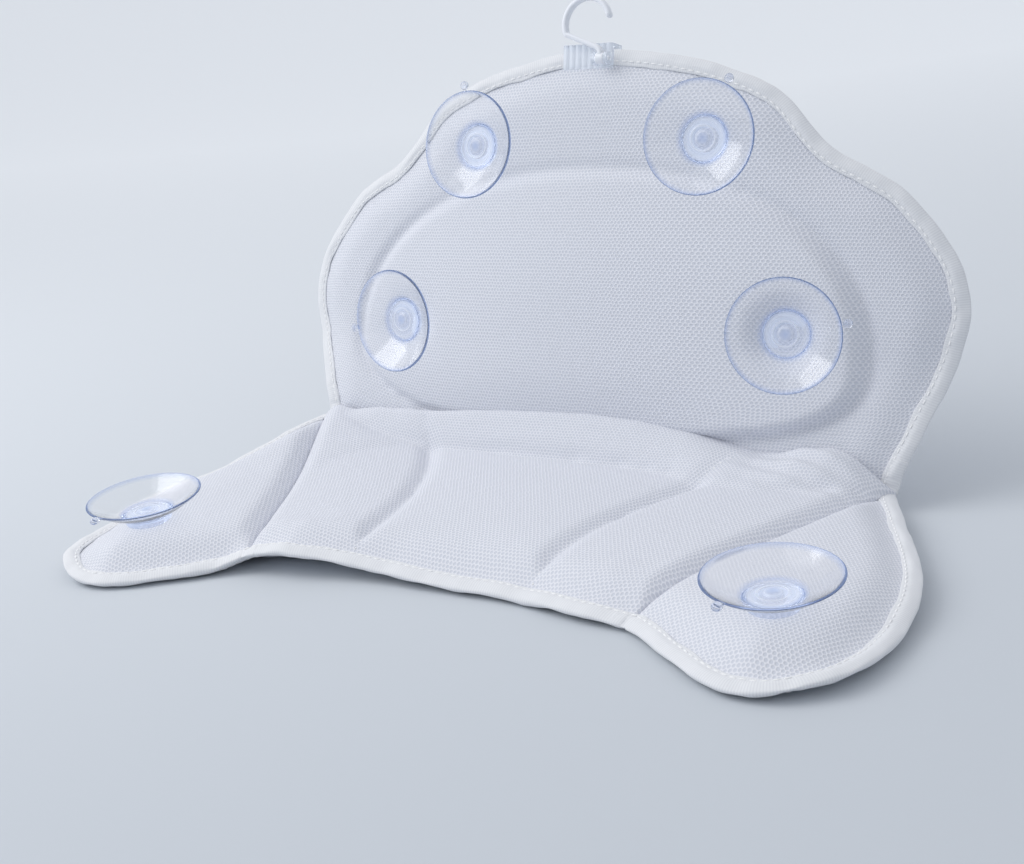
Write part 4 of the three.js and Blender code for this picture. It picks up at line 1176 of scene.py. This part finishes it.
@dataclass
class HeadPanel(Panel):
    """The head panel: a border round a cushion that bulges behind and more in front."""

    name: str = "head"
    cell: float = 3.3
    oval: tuple[float, float, float, float] = (157.0, 63.8, 99.2, 45.6)
    oval_powers: tuple[float, float] = (2.2, 3.0)
    rear_dome: float = 12.5
    rear_level: float = 0.2
    face_dome: float = 16.0
    face_level: float = 0.3
    border: float = 6.0
    shoulder: float = 18.0
    upright: float = 0.62
    side_width: float = 7.5
    groove_depth: float = 4.2
    groove_width: float = 3.4
    loose_top: tuple[float, float, float] = (0.55, 110.0, 45.0)
    loose_foot: tuple[float, float, float] = (0.85, 14.0, 30.0)
    firm_left: float = 0.25
    firm_right: tuple[float, float] = (15.0, 85.0)
    firm_top: tuple[float, float, float] = (0.6, 95.0, 45.0)
    stretch: float = 26.0
    stretch_across: tuple[float, float] = (15.0, 125.0)
    stretch_up: tuple[float, float] = (5.0, 40.0)
    tuck_height: float = 9.0

    def sheet(self) -> bmesh.types.BMesh:
        """Cuts the head panel's sheet down to the waist.

        Returns:
            The flat sheet.
        """
        line = PATTERN.head_edge(4)
        ring = line + leftward(line) * PATTERN.edge_inset
        corner = np.array([PATTERN.edge_inset, 0])
        ring[0], ring[-1] = line[0] - corner, line[-1] + corner
        return cut_sheet(ring, self.cell)

    def reach(self, flat: np.ndarray) -> tuple[np.ndarray, np.ndarray]:
        """Measures points against the cushion's sewn oval.

        Args:
            flat: Points on the flat pattern.

        Returns:
            How far out each point is as a share of the oval, and how far it is from the seam.
        """
        half, level, above, below = self.oval
        x, up = np.abs(flat[:, 0]) / half, flat[:, 1] - level
        power = np.where(up > 0, *self.oval_powers)
        share = (x**power + (np.abs(up) / np.where(up > 0, above, below)) ** power) ** (1 / power)
        out = np.hypot(flat[:, 0], up)
        return share, np.abs(share - 1) * out / np.maximum(share, 1e-6)

    def bound(self, flat: np.ndarray) -> np.ndarray:
        """Measures how far points are from the bound edge."""
        return distance(flat, PATTERN.head_edge(6))

    def edge_gap(self, flat: np.ndarray) -> np.ndarray:
        """Measures how far points are from the binding and the waist."""
        return np.minimum(self.bound(flat) - PATTERN.flange, flat[:, 1])

    def sewn(self, flat: np.ndarray) -> np.ndarray:
        """Measures how far points are from the nearest sewn line."""
        return np.minimum(self.edge_gap(flat), self.reach(flat)[1])

    def cover(self, flat: np.ndarray, dome: float, flat_share: float, firm: np.ndarray) -> np.ndarray:
        """Gives a cover's height over the middle layer: the border, the dome and the sewn groove between them.

        Args:
            flat: Points on the flat pattern.
            dome: How far the cushion rises over the border.
            flat_share: How much of the dome is level.
            firm: How upright the cushion's side stands at each point, from 0 to 1.

        Returns:
            The heights.
        """
        share, gap = self.reach(flat)
        border = self.border * crown(self.edge_gap(flat) / self.shoulder)
        inner = np.where(share < 1, gap, 0)
        side = self.upright * firm
        swell = dome * (side * crown(inner / self.side_width) + (1 - side) * crown((1 - share) / (1 - flat_share)))
        (top, *high), (foot, *low) = self.loose_top, self.loose_foot
        tight = (1 - top * ease(flat[:, 1], *high)) * (1 - foot + foot * ease(flat[:, 1], *low))
        groove = self.groove_depth * tight * np.exp(-((gap / self.groove_width) ** 2)) * smooth(border / self.border)
        return PATTERN.edge_half + np.maximum(border + swell - groove, 0)

    def rise(self, flat: np.ndarray) -> np.ndarray:
        """Gives the rear cover's height over the middle layer: its lower right side is the firmest.

        Args:
            flat: Points on the flat pattern.

        Returns:
            The heights.
        """
        x, y = flat.T
        softer, *high = self.firm_top
        right = ease(x, *self.firm_right) * (1 - softer * ease(y, *high))
        return self.cover(flat, self.rear_dome, self.rear_level, self.firm_left + (1 - self.firm_left) * right)

    def sink(self, flat: np.ndarray) -> np.ndarray:
        """Gives the face cover's depth under the middle layer."""
        return self.cover(flat, self.face_dome, self.face_level, np.zeros(len(flat)))

    def thread_run(self, flat: np.ndarray) -> np.ndarray:
        """Gives the knit's own coordinates: the cushion stretches it wider on its right."""
        x, y = flat.T
        drawn = self.stretch * ease(x, *self.stretch_across) * ease(y, *self.stretch_up)
        return flat - np.stack([drawn, np.zeros(len(flat))], 1)

    def place(self, flat: np.ndarray, height: np.ndarray) -> np.ndarray:
        """Stands points of the flat pattern up on the waist.

        Args:
            flat: Points on the flat pattern.
            height: Their heights over the middle layer.

        Returns:
            Their places in metres.
        """
        x, y = flat.T
        swept = x**2 / (2 * PATTERN.sweep_radius) * smooth(y / PATTERN.sweep_start)
        z = height - PATTERN.edge_half - swept
        c, s = math.cos(PATTERN.tilt), math.sin(PATTERN.tilt)
        spots = np.stack([x, PATTERN.waist[0] + y * c - z * s, PATTERN.waist[1] + y * s + z * c], 1)
        spots[:, 2] += hitch(flat)
        tuck = np.where(height < 0, 1 - smooth(y / self.tuck_height), 0)[:, None]
        level = PATTERN.middle - PATTERN.edge_half + hitch(flat)
        under = np.stack([x, np.full_like(x, PATTERN.waist[0]), level], 1)
        return (spots + tuck * (under - spots)) * MM


# Edges


class Laid(Protocol):
    """Anything that knows where points of the flat pattern lie in space."""

    def place(self, flat: np.ndarray, height: np.ndarray) -> np.ndarray:
        """Takes points of the flat pattern to their places in space, in metres."""


@dataclass
class Notch:
    """The bit of the pillow round a notch, where the edge turns from a wing up to the head panel."""

    wing: WingPanel
    head: HeadPanel

    def place(self, flat: np.ndarray, height: np.ndarray) -> np.ndarray:
        """Lays points below the waist with the wing and stands the others up with the head panel."""
        return np.where(flat[:, 1:] < 0, self.wing.place(flat, height), self.head.place(flat, height))


@dataclass
class Binding:
    """A tape folded over a panel's edge and sewn down on both sides."""

    panel: Laid
    line: np.ndarray
    name: str
    inward: int = 1
    ends: tuple[np.ndarray | None, np.ndarray | None] = (None, None)
    width: float = 9.0
    thick: float = 1.0
    pinch: float = 0.0
    step: float = 3.6
    mitre_reach: float = 16.0
    mitre_least: float = 0.4
    wobbles: tuple[tuple[float, float, int], ...] = ((0.75, 14.0, 1), (0.45, 5.0, 2))
    puffs: tuple[tuple[float, float, int], ...] = ((0.55, 11.0, 3), (0.4, 4.5, 4))
    puffed: float = 1.05
    creased: float = 1.4
    crease_pitch: float = 3.7
    crease_bend: tuple[float, float] = (9.0, 0.25)
    fold_width: float = 5.0
    stitch_inset: float = 2.1
    stitch_hold: float = 1.6
    stitch_pitch: float = 4.4
    stitch_length: float = 3.1

    def across(self, line: np.ndarray) -> np.ndarray:
        """Gives the way into the panel at each station, turned to a mitre at an end that meets a seam.

        Args:
            line: The stations.

        Returns:
            One direction for each station, as long as keeps the tape's width.
        """
        into = leftward(line) * self.inward
        for end, order in zip(self.ends, (slice(None), slice(None, None, -1))):
            if end is not None:
                run = np.linalg.norm(line[order] - line[order][0], axis=1)
                square = into[order]
                mitre = end / max(np.dot(end, square[0]), self.mitre_least)
                square += (1 - smooth(run / self.mitre_reach))[:, None] * (mitre - square)
        return into

    def section(self) -> list[tuple[float, float]]:
        """Gives the folded tape's section.

        Returns:
            Insets from the edge and heights over the middle layer, round the section.
        """
        e, t, w = PATTERN.edge_half, self.thick, self.width
        half = [(w, e - 0.3), (w, e + 0.45 * t), (w - 0.9, e + 0.85 * t), (w - self.stitch_inset, e + 0.5 * t)]
        half += [(w - 3.4, e + 0.9 * t), (4.0, e + 0.8 * t), (2.2, e), (0.8, e - 0.8), (0, e - 1.5)]
        return half + [(a, -b) for a, b in half[::-1]] + [(2.6, 1.2 - e), (2.6, e - 1.2)]

    def tape(self) -> bpy.types.Object:
        """Folds the tape over the edge, puffed between its stitches and creased where it is gathered.

        Returns:
            The binding.
        """
        line = spaced(self.line, self.step)
        run = np.concatenate([[0], np.cumsum(np.linalg.norm(np.diff(line, axis=0), axis=1))])
        into = self.across(line)
        section = self.section()
        wobble, puff = (
            sum(share * uneven(run, pitch, seed) for share, pitch, seed in swells)
            for swells in (self.wobbles, self.puffs)
        )
        bent = np.linalg.norm(np.gradient(along(line), axis=0), axis=1)
        gain, least = self.crease_bend
        crease = np.maximum(uneven(run, self.crease_pitch, 5), 0) ** 2 * np.clip(bent * gain, least, 1)
        rings = []
        for inset, high in section:
            held = np.exp(-((max(self.width - self.stitch_inset - inset, 0) / self.stitch_hold) ** 2))
            lift = np.sign(high) * (self.puffed * puff - self.creased * crease) * (1 - held) * min(abs(high), 2) / 2
            lift = lift - np.sign(high) * self.pinch * np.exp(-(((run - run[-1] / 2) / self.stitch_hold) ** 2))
            drift = wobble * (0.5 + 0.5 * (inset > self.fold_width)) + 0.5 * crease * (inset < self.fold_width)
            rings.append(self.panel.place(line + into * (inset + drift)[:, None], high + lift))
        bm = sweep([np.array(ring) for ring in np.stack(rings, 1)])
        lengths = np.cumsum([0, *(math.dist(a, b) for a, b in zip(section, section[1:]))])
        layer = bm.loops.layers.uv.new(UV_NAME)
        bm.verts.index_update()
        for face in bm.faces:
            for loop in face.loops:
                station, corner = divmod(loop.vert.index, len(section))
                loop[layer].uv = (run[station] * MM, lengths[corner] * MM)
        return piece(self.name, bm, TAPE, rounds=1)

    def stitches(self) -> bpy.types.Object:
        """Sews the tape down with a row of stitches on each side.

        Returns:
            The stitches.
        """
        line = spaced(self.line + self.across(self.line) * (self.width - self.stitch_inset), self.stitch_pitch)
        rows = [(line, np.full(len(line), side * (PATTERN.edge_half + 0.72 * self.thick))) for side in (1, -1)]
        return sew(f"{self.name}_stitches", self.panel, rows, self.stitch_length)


def sew(name: str, panel: Laid, rows: list[tuple[np.ndarray, np.ndarray]], length: float) -> bpy.types.Object:
    """Lays rows of stitches on a panel.

    Args:
        name: The piece's name.
        panel: The panel that is sewn.
        rows: For each row, the middles of its stitches on the flat pattern and their heights.
        length: Length of a stitch that shows, in millimetres.

    Returns:
        All the stitches as one piece.
    """
    wide, high = 0.5, 0.42
    bm = bmesh.new()
    for line, height in rows:
        way = along(line)
        middle = panel.place(line, height)
        ahead = panel.place(line + way * 0.5, height) - panel.place(line - way * 0.5, height)
        over = panel.place(line, height + 0.5) - panel.place(line, height - 0.5)
        for spot, run, up in zip(middle, ahead, over):
            x = Vector(run).normalized()
            y = Vector(up).cross(x).normalized()
            axes = Matrix((x * length / 2, y * wide, x.cross(y) * high)).transposed().to_4x4()
            lay = Matrix.Translation(Vector(spot)) @ Matrix.Scale(MM, 4) @ axes @ Matrix.Rotation(math.pi / 2, 4, "Y")
            bmesh.ops.create_uvsphere(bm, u_segments=6, v_segments=5, radius=1.0, matrix=lay)
    return piece(name, bm, THREAD)


# Suction cups and hook


@dataclass
class SuctionCup:
    """A clear moulded cup on a hub, held in its eyelet by a neck and a button."""

    site: str
    tab_turn: float
    radius: float = 30.0
    height: float = 14.6
    hub: float = 12.2
    steps: int = 72
    tab: tuple[float, float, float] = (4.0, 2.6, 0.8)
    tab_reach: float = 2.9
    bead: float = 2.5
    # Painted blue on the rim, the hub wall and the tab, where light shows them blue.
    rim_tinge: float = 0.3
    wall_tinge: float = 0.15
    tab_tinge: float = 0.06
    # By radius over the hub: painted highlights on its rings, a painted blue-grey middle and a painted dark blue line
    # at its edge.
    ring_mm: tuple[float, ...] = (0.0, 2.9, 3.7, 4.2, 5.9, 6.3, 7.0, 7.4, 10.5, 12.2)
    ring_frost: tuple[float, ...] = (0.05, 0.2, 0.5, 0.15, 0.15, 0.55, 0.55, 0.2, 0.4, 0.0)
    ring_tinge: tuple[float, ...] = (0.35, 0.2, 0.05, 0.1, 0.1, 0.0, 0.0, 0.08, 0.0, 0.25)

    def profile(self) -> list[tuple[float, float]]:
        """Gives the cup's section.

        Returns:
            Its corners from the button's middle to the nub's, as radius and height in millimetres.
        """
        r, h, b = self.radius, self.height, self.hub
        outer = [(0, -4.6), (6.2, -4.6), (6.7, -4.1), (6.6, -3.0), (4.4, -2.7), (4.2, -0.3), (b - 0.8, 0), (b, 0.7)]
        outer += [(b, 3.5), (b + 0.5, 4.5), (b + 3, 5.5), (19.6, 7.2), (24.2, 9.8), (27.6, 12.2), (r - 0.6, 13.6)]
        rim = [(r, 13.9), (r, h - 0.2), (r - 0.4, h), (r - 1.2, h - 0.1)]
        inner = [(26.8, 12.9), (23.6, 10.7), (19.2, 8.4), (b + 2.6, 6.75), (b, 5.9), (10.5, 5.7), (7.4, 5.7)]
        nub = [(7.0, 6.15), (6.3, 6.15), (5.9, 5.7), (4.2, 5.7), (3.7, 6.7), (2.9, 6.95), (0, 6.95)]
        return outer + rim + inner + nub

    def stand(self) -> Matrix:
        """Gives the cup's place.

        Returns:
            What puts the hub's base on the joint and the mouth along the joint's axis, from millimetres.
        """
        joint = JOINTS[f"cup_{self.site}_spin"]
        axis = Vector(joint["axis"]).normalized()
        side = (Vector((1, 0, 0)) - axis * axis.x).normalized()
        turn = Matrix((side, axis.cross(side), axis)).transposed().to_4x4()
        return Matrix.Translation(joint["pos_m"]) @ turn @ Matrix.Scale(MM, 4)

    def shade(self, out: float, up: float) -> tuple[float, float]:
        """Tells how frosted the cup is at a point, with its painted highlight, and how much painted blue it has there.

        Args:
            out: How far the point is from the cup's axis, in millimetres.
            up: How high it stands over the hub's base.

        Returns:
            The frosting with its painted highlight, and the painted blue, from 0 to 1.
        """
        if out > self.radius + 0.1:
            return 0.0, self.tab_tinge
        if out > self.radius - 0.7:
            return 0.0, self.rim_tinge
        if up > 5 and out < self.hub + 1:
            return np.interp(out, self.ring_mm, self.ring_frost), np.interp(out, self.ring_mm, self.ring_tinge)
        # The hub's base is frosted and painted with a pale highlight.
        frosted = up < 3.0 and out < self.hub - 0.5
        return float(frosted), self.wall_tinge if out > self.hub - 1 and up < 5 else 0.0

    def build(self) -> bpy.types.Object:
        """Moulds the cup with its pull tab.

        Returns:
            The cup, riding on its own body.
        """
        bm = turned(self.profile(), self.steps)
        turn = Matrix.Rotation(math.radians(self.tab_turn), 4, "Z")
        reach = self.radius + self.tab_reach
        tongue = Matrix.Translation((reach - 1.9, 0, self.height - 0.45)) @ Matrix.Diagonal((*self.tab, 1))
        made = bmesh.ops.create_cube(bm, size=1.0, matrix=turn @ tongue)
        sides = {edge for vert in made["verts"] for edge in vert.link_edges}
        bmesh.ops.bevel(bm, geom=list(sides), offset=0.25, affect="EDGES", segments=2, profile=0.5, material=-1)
        bead = Matrix.Translation((reach, 0, self.height - 0.5)) @ Matrix.Diagonal((1, 1, 0.8, 1))
        bmesh.ops.create_uvsphere(bm, u_segments=20, v_segments=12, radius=self.bead, matrix=turn @ bead)
        # The frost layer roughens and carries the painted highlight; the painted tint layer carries the painted blue.
        for name in (FROST_AND_PAINTED_LIGHT, PAINTED_TINT):
            bm.verts.layers.float.new(name)
        frost, tinge = (bm.verts.layers.float[name] for name in (FROST_AND_PAINTED_LIGHT, PAINTED_TINT))
        for vert in bm.verts:
            vert[frost], vert[tinge] = self.shade(vert.co.xy.length, vert.co.z)
        bmesh.ops.transform(bm, matrix=self.stand(), verts=bm.verts[:])
        made = piece(f"suction_cup_{self.site}", bm, CUP_PVC, rounds=1)
        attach(made, f"suction_cup_{self.site}")
        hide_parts(f"cup_{self.site}")
        return made


@dataclass
class HangingHook:
    """A white moulded hook that swings on a pin between the lugs of a clear clip."""

    band: float = 3.0
    width: float = 5.0
    corner: float = 0.7
    lug_x: float = 7.0
    pin_y: float = 221.5
    pin_z: float = 9.7
    eye_radius: float = 3.0
    stem: float = 5.0
    crook: float = 13.5
    crook_x: float = -1.5
    crook_y: float = 240.5
    arc_deg: tuple[float, float] = (203.0, 8.0)

    def path(self) -> np.ndarray:
        """Gives the band's middle line.

        Returns:
            Its stations, from the pin up the stem, along the leg and round to the open tip.
        """
        knee = (self.lug_x, self.pin_y + self.stem)
        angles = np.radians(np.linspace(*self.arc_deg, 18))
        arc = [(self.crook_x + self.crook * math.cos(a), self.crook_y + self.crook * math.sin(a)) for a in angles]
        foot = [(self.lug_x, self.pin_y), (knee[0], knee[1] - 2.0), (knee[0] - 1.2, knee[1] + 0.2)]
        slope = np.array(arc[0]) - knee
        leg = [tuple(np.array(knee) + slope * share) for share in (0.25, 0.6, 0.9)]
        return through([*foot, *leg, *arc], 0.9)

    def build(self) -> bpy.types.Object:
        """Moulds the hook.

        Returns:
            The hook, riding on its own body.
        """
        line = self.path()
        t, w, r = self.band / 2, self.width / 2, self.corner
        section = [(t, w - r), (t - r, w), (-t + r, w), (-t, w - r)]
        section += [(-a, -b) for a, b in section]
        ends = np.minimum(np.arange(len(line)), np.arange(len(line))[::-1])
        taper = np.interp(ends, [0, 1, 2], [0.55, 0.88, 1.0])
        rings = [np.c_[line + leftward(line) * (a * taper)[:, None], b * taper] for a, b in section]
        bm = sweep([ring for ring in np.stack(rings, 1)])
        eye = Matrix.Translation((self.lug_x, self.pin_y, 0)) @ Matrix.Rotation(math.pi / 2, 4, "Y")
        drum = {"radius1": self.eye_radius, "radius2": self.eye_radius, "depth": self.width, "matrix": eye}
        made = bmesh.ops.create_cone(bm, cap_ends=True, segments=24, **drum)
        rims = [e for v in made["verts"] for e in v.link_edges if e.calc_face_angle(0) > 1]
        bmesh.ops.bevel(bm, geom=list(set(rims)), offset=0.5, affect="EDGES", segments=2, profile=0.5, material=-1)
        c, s = math.cos(PATTERN.tilt), math.sin(PATTERN.tilt)
        lean = Matrix(((1, 0, 0, 0), (0, c, -s, PATTERN.waist[0]), (0, s, c, PATTERN.waist[1]), (0, 0, 0, 1)))
        stand = Matrix.Scale(MM, 4) @ lean @ Matrix.Translation((0, 0, self.pin_z - PATTERN.edge_half))
        bmesh.ops.transform(bm, matrix=stand, verts=bm.verts[:])
        hook = piece("hanging_hook_moulding", bm, HOOK_PLASTIC, rounds=1)
        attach(hook, "hook")
        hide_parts("hanging_hook")
        return hook


# The pillow


@dataclass
class BathPillow:
    """The whole pillow: four stuffed panels, their bindings and seams, six cups and the hook."""

    stitch_pitch: float = 4.6
    hinge_sunk: float = 1.3
    tabs: dict[str, float] = field(
        default_factory=lambda: {
            "head_upper_left": 95,
            "head_upper_right": 62,
            "head_lower_left": 190,
            "head_lower_right": 12,
            "wing_left": 265,
            "wing_right": 250,
        }
    )

    def bend_waist(self, made: bpy.types.Object) -> None:
        """Lets a piece bend with the waist fold."""
        y, z = (v * MM for v in PATTERN.waist)
        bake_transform(made, "back_rest", "head_rest", start=(0, y - 0.026, z - 0.008), end=(0, y + 0.006, z + 0.034))

    def bend_wing(self, made: bpy.types.Object, wing: WingPanel) -> None:
        """Lets a piece bend with a wing's hinge seam.

        Args:
            made: The piece.
            wing: The wing that it follows.
        """
        top, front = wing.hinge()
        span = (front - top) / np.linalg.norm(front - top)
        out = np.array([-span[1], span[0]]) * wing.side.value
        spots = [wing.place((top + out * reach)[None], np.zeros(1))[0] for reach in (0.3, 16.0)]
        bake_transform(made, "back_rest", wing.name, start=tuple(spots[0]), end=tuple(spots[1]))

    def head(self) -> None:
        """Makes the head panel with its binding."""
        panel = HeadPanel()
        for side in Side:
            for level in ("upper", "lower"):
                panel.seat_cup(f"cup_head_{level}_{side.word}_spin")
        pad = panel.pad()
        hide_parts("head_rear_mesh", "head_face_mesh", "head_wadding", "head_cushion")
        edge = PATTERN.head_edge(3)
        ends = [edge[0] + (0.5, -4), edge[-1] + (-0.5, -4)]
        binding = Binding(panel, np.vstack([ends[:1], edge, ends[1:]]), "head_binding_tape")
        tape = binding.tape()
        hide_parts("head_binding")
        for made in (pad, tape, binding.stitches()):
            self.bend_waist(made)

    def back(self) -> None:
        """Makes the back panel with its binding and seams."""
        panel = BackPanel()
        pad = panel.pad()
        self.bend_waist(pad)
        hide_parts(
            "back_rear_mesh",
            "back_face_mesh",
            "back_centre_wadding",
            "back_channel_wadding_left",
            "back_channel_wadding_right",
        )
        seams = [(line[0] - line[1]) / np.linalg.norm(line[0] - line[1]) for line in panel.hinges()]
        binding = Binding(panel, PATTERN.front(3), "back_binding_tape", ends=(seams[1], seams[0]))
        tape = binding.tape()
        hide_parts("back_binding")
        quilts = []
        for line in panel.quilts():
            stops = spaced(line[6:-3], self.stitch_pitch)
            quilts += [(stops, panel.rise(stops) - 0.3), (stops, 0.3 - panel.sink(stops))]
        for made in (tape, binding.stitches(), sew("quilt_stitches", panel, quilts, 3.0)):
            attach(made, "back_rest")
        end = np.array([PATTERN.waist_half - 1, -0.6])
        stops = spaced(np.array([end * MIRROR, end]), self.stitch_pitch)
        waist = sew("waist_stitches", panel, [(stops, np.full(len(stops), -PATTERN.edge_half - 0.1))], 3.2)
        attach(waist, "back_rest")
        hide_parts("waist_seam")
        for side, line in zip((Side.RIGHT, Side.LEFT), panel.hinges()):
            stops = spaced(line, self.stitch_pitch)[2:-2]
            level = np.full(len(stops), PATTERN.edge_half - self.hinge_sunk)
            seam = sew(f"hinge_stitches_{side.word}", panel, [(stops, level), (stops, -level)], 3.2)
            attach(seam, "back_rest")
            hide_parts(f"wing_seam_{side.word}")

    def wings(self) -> None:
        """Makes the two wings with their bindings."""
        for side in Side:
            panel = WingPanel(side=side)
            panel.seat_cup(f"cup_wing_{side.word}_spin")
            pad = panel.pad()
            kinds = ("rear_mesh", "face_mesh", "wadding")
            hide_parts(*(f"wing_{side.word}_{kind}" for kind in kinds))
            top, front = panel.hinge()
            seam = (top - front) / np.linalg.norm(top - front)
            name = f"wing_{side.word}_binding_tape"
            binding = Binding(panel, panel.edge(3), name, inward=side.value, ends=(seam, -seam))
            tape = binding.tape()
            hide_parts(f"wing_{side.word}_binding")
            for made in (pad, tape, binding.stitches()):
                self.bend_wing(made, panel)

    def joins(self) -> None:
        """Carries the binding on round the notches and over the ends of the hinge seams, gathered at each."""
        for side in Side:
            wing = WingPanel(side=side)
            edge = wing.edge(2)
            head = PATTERN.head_edge(2) * wing.sign
            front = PATTERN.front(2) * wing.sign
            turn = Notch(wing, HeadPanel())
            line = np.vstack([edge[-6:], head[1:9]])
            notch = Binding(turn, line, f"notch_tape_{side.word}", side.value, thick=1.4, pinch=0.6, step=1.4).tape()
            self.bend_waist(notch)
            line = np.vstack([front[-5:], edge[1:5]])
            seam = Binding(wing, line, f"seam_tape_{side.word}", side.value, thick=1.3, pinch=0.7, step=1.4).tape()
            self.bend_wing(seam, wing)

    def fittings(self) -> None:
        """Makes the cups and the hook, and dresses the small parts that are kept as they are."""
        for site, turn in self.tabs.items():
            SuctionCup(site, turn).build()
        HangingHook().build()
        kept = {"hook_clip": CLIP_PLASTIC, "hook_pin": HOOK_PLASTIC}
        kept.update({f"washer_{site}": WASHER_PLASTIC for site in self.tabs})
        for node, finish in kept.items():
            mesh = frame["nodes"][node].data
            mesh.materials.clear()
            mesh.materials.append(finish.material())

    def build(self) -> None:
        """Makes every piece of the pillow."""
        self.head()
        self.back()
        self.wings()
        self.joins()
        self.fittings()


# Studio


@dataclass
class Studio:
    """A pale paper bowl, soft lamps and the camera."""

    paper: str = "#bcc2c9"
    level: float = 0.8
    curve: float = 14.0
    key_way: tuple[float, float, float] = (0.6, 0.36, -0.72)
    key_power: float = 0.55
    key_spread: float = 60.0
    box_spot: tuple[float, float, float] = (-0.85, -0.5, 0.95)
    box_aim: tuple[float, float, float] = (0.0, 0.0, 0.08)
    box_size: float = 0.9
    box_power: float = 5.4
    sky: str = "#eff2f8"
    sky_power: float = 0.79
    focal_px: float = 1447.52
    eye: tuple[float, float, float] = (0.37131, -0.60141, 0.27045)
    azimuth: float = 31.616
    elevation: float = 17.04
    roll: float = -5.556
    image_width: int = 1024

    def floor(self) -> None:
        """Lays the paper, which curves up slowly on all sides."""
        slopes = np.radians(range(0, 51, 2))
        bends = [(self.level + self.curve * math.sin(a), self.curve * (1 - math.cos(a))) for a in slopes]
        bowl = turned([(0, 0), *bends], 72)
        # The paper gets painted light, paler towards its far left end.
        shown("paper_sweep", bowl, Paper("graduated studio paper", "", self.paper, 0.9))

    def lamp(self, name: str, kind: str, way: Vector) -> bpy.types.Object:
        """Hangs a lamp.

        Args:
            name: The lamp's name.
            kind: Its type.
            way: Which way it shines.

        Returns:
            The lamp.
        """
        made = bpy.data.objects.new(name, bpy.data.lights.new(name, kind))
        made.rotation_euler = way.to_track_quat("-Z", "Y").to_euler()
        bpy.context.collection.objects.link(made)
        return made

    def light(self) -> None:
        """Hangs a broad key and a soft box, both at the upper left, under an even sky."""
        key = self.lamp("key", "SUN", Vector(self.key_way))
        key.data.energy, key.data.angle = self.key_power, math.radians(self.key_spread)
        box = self.lamp("left box", "AREA", Vector(self.box_aim) - Vector(self.box_spot))
        box.location, box.visible_camera = self.box_spot, False
        box.data.size, box.data.energy = self.box_size, self.box_power
        world = bpy.data.worlds.new("even sky")
        bpy.context.scene.world = world
        world.use_nodes = True
        sky = world.node_tree.nodes["Background"]
        sky.inputs["Color"].default_value = linear(self.sky)
        sky.inputs["Strength"].default_value = self.sky_power

    def camera(self) -> None:
        """Sets the camera up where the photograph was taken from."""
        az, el, roll = (math.radians(a) for a in (self.azimuth, self.elevation, self.roll))
        back = Vector((math.sin(az) * math.cos(el), -math.cos(az) * math.cos(el), math.sin(el)))
        level = Vector((math.cos(az), math.sin(az), 0))
        raised = back.cross(level)
        right = math.cos(roll) * level + math.sin(roll) * raised
        up = -math.sin(roll) * level + math.cos(roll) * raised
        data = bpy.data.cameras.new("photograph")
        data.sensor_width = 36.0
        data.lens = self.focal_px / self.image_width * data.sensor_width
        data.clip_start = 0.01
        made = bpy.data.objects.new("photograph", data)
        made.matrix_world = Matrix.Translation(self.eye) @ Matrix((right, up, back)).transposed().to_4x4()
        bpy.context.collection.objects.link(made)
        bpy.context.scene.camera = made

    def build(self) -> None:
        """Sets up the paper, the lamps, the camera and plain view settings."""
        self.floor()
        self.light()
        self.camera()
        bpy.context.scene.view_settings.view_transform = "Standard"


def main() -> None:
    """Builds the pillow and the studio, and notes the size of the result."""
    logging.basicConfig(level=logging.INFO, format="%(message)s")
    BathPillow().build()
    Studio().build()


if __name__ == "__main__":
    main()
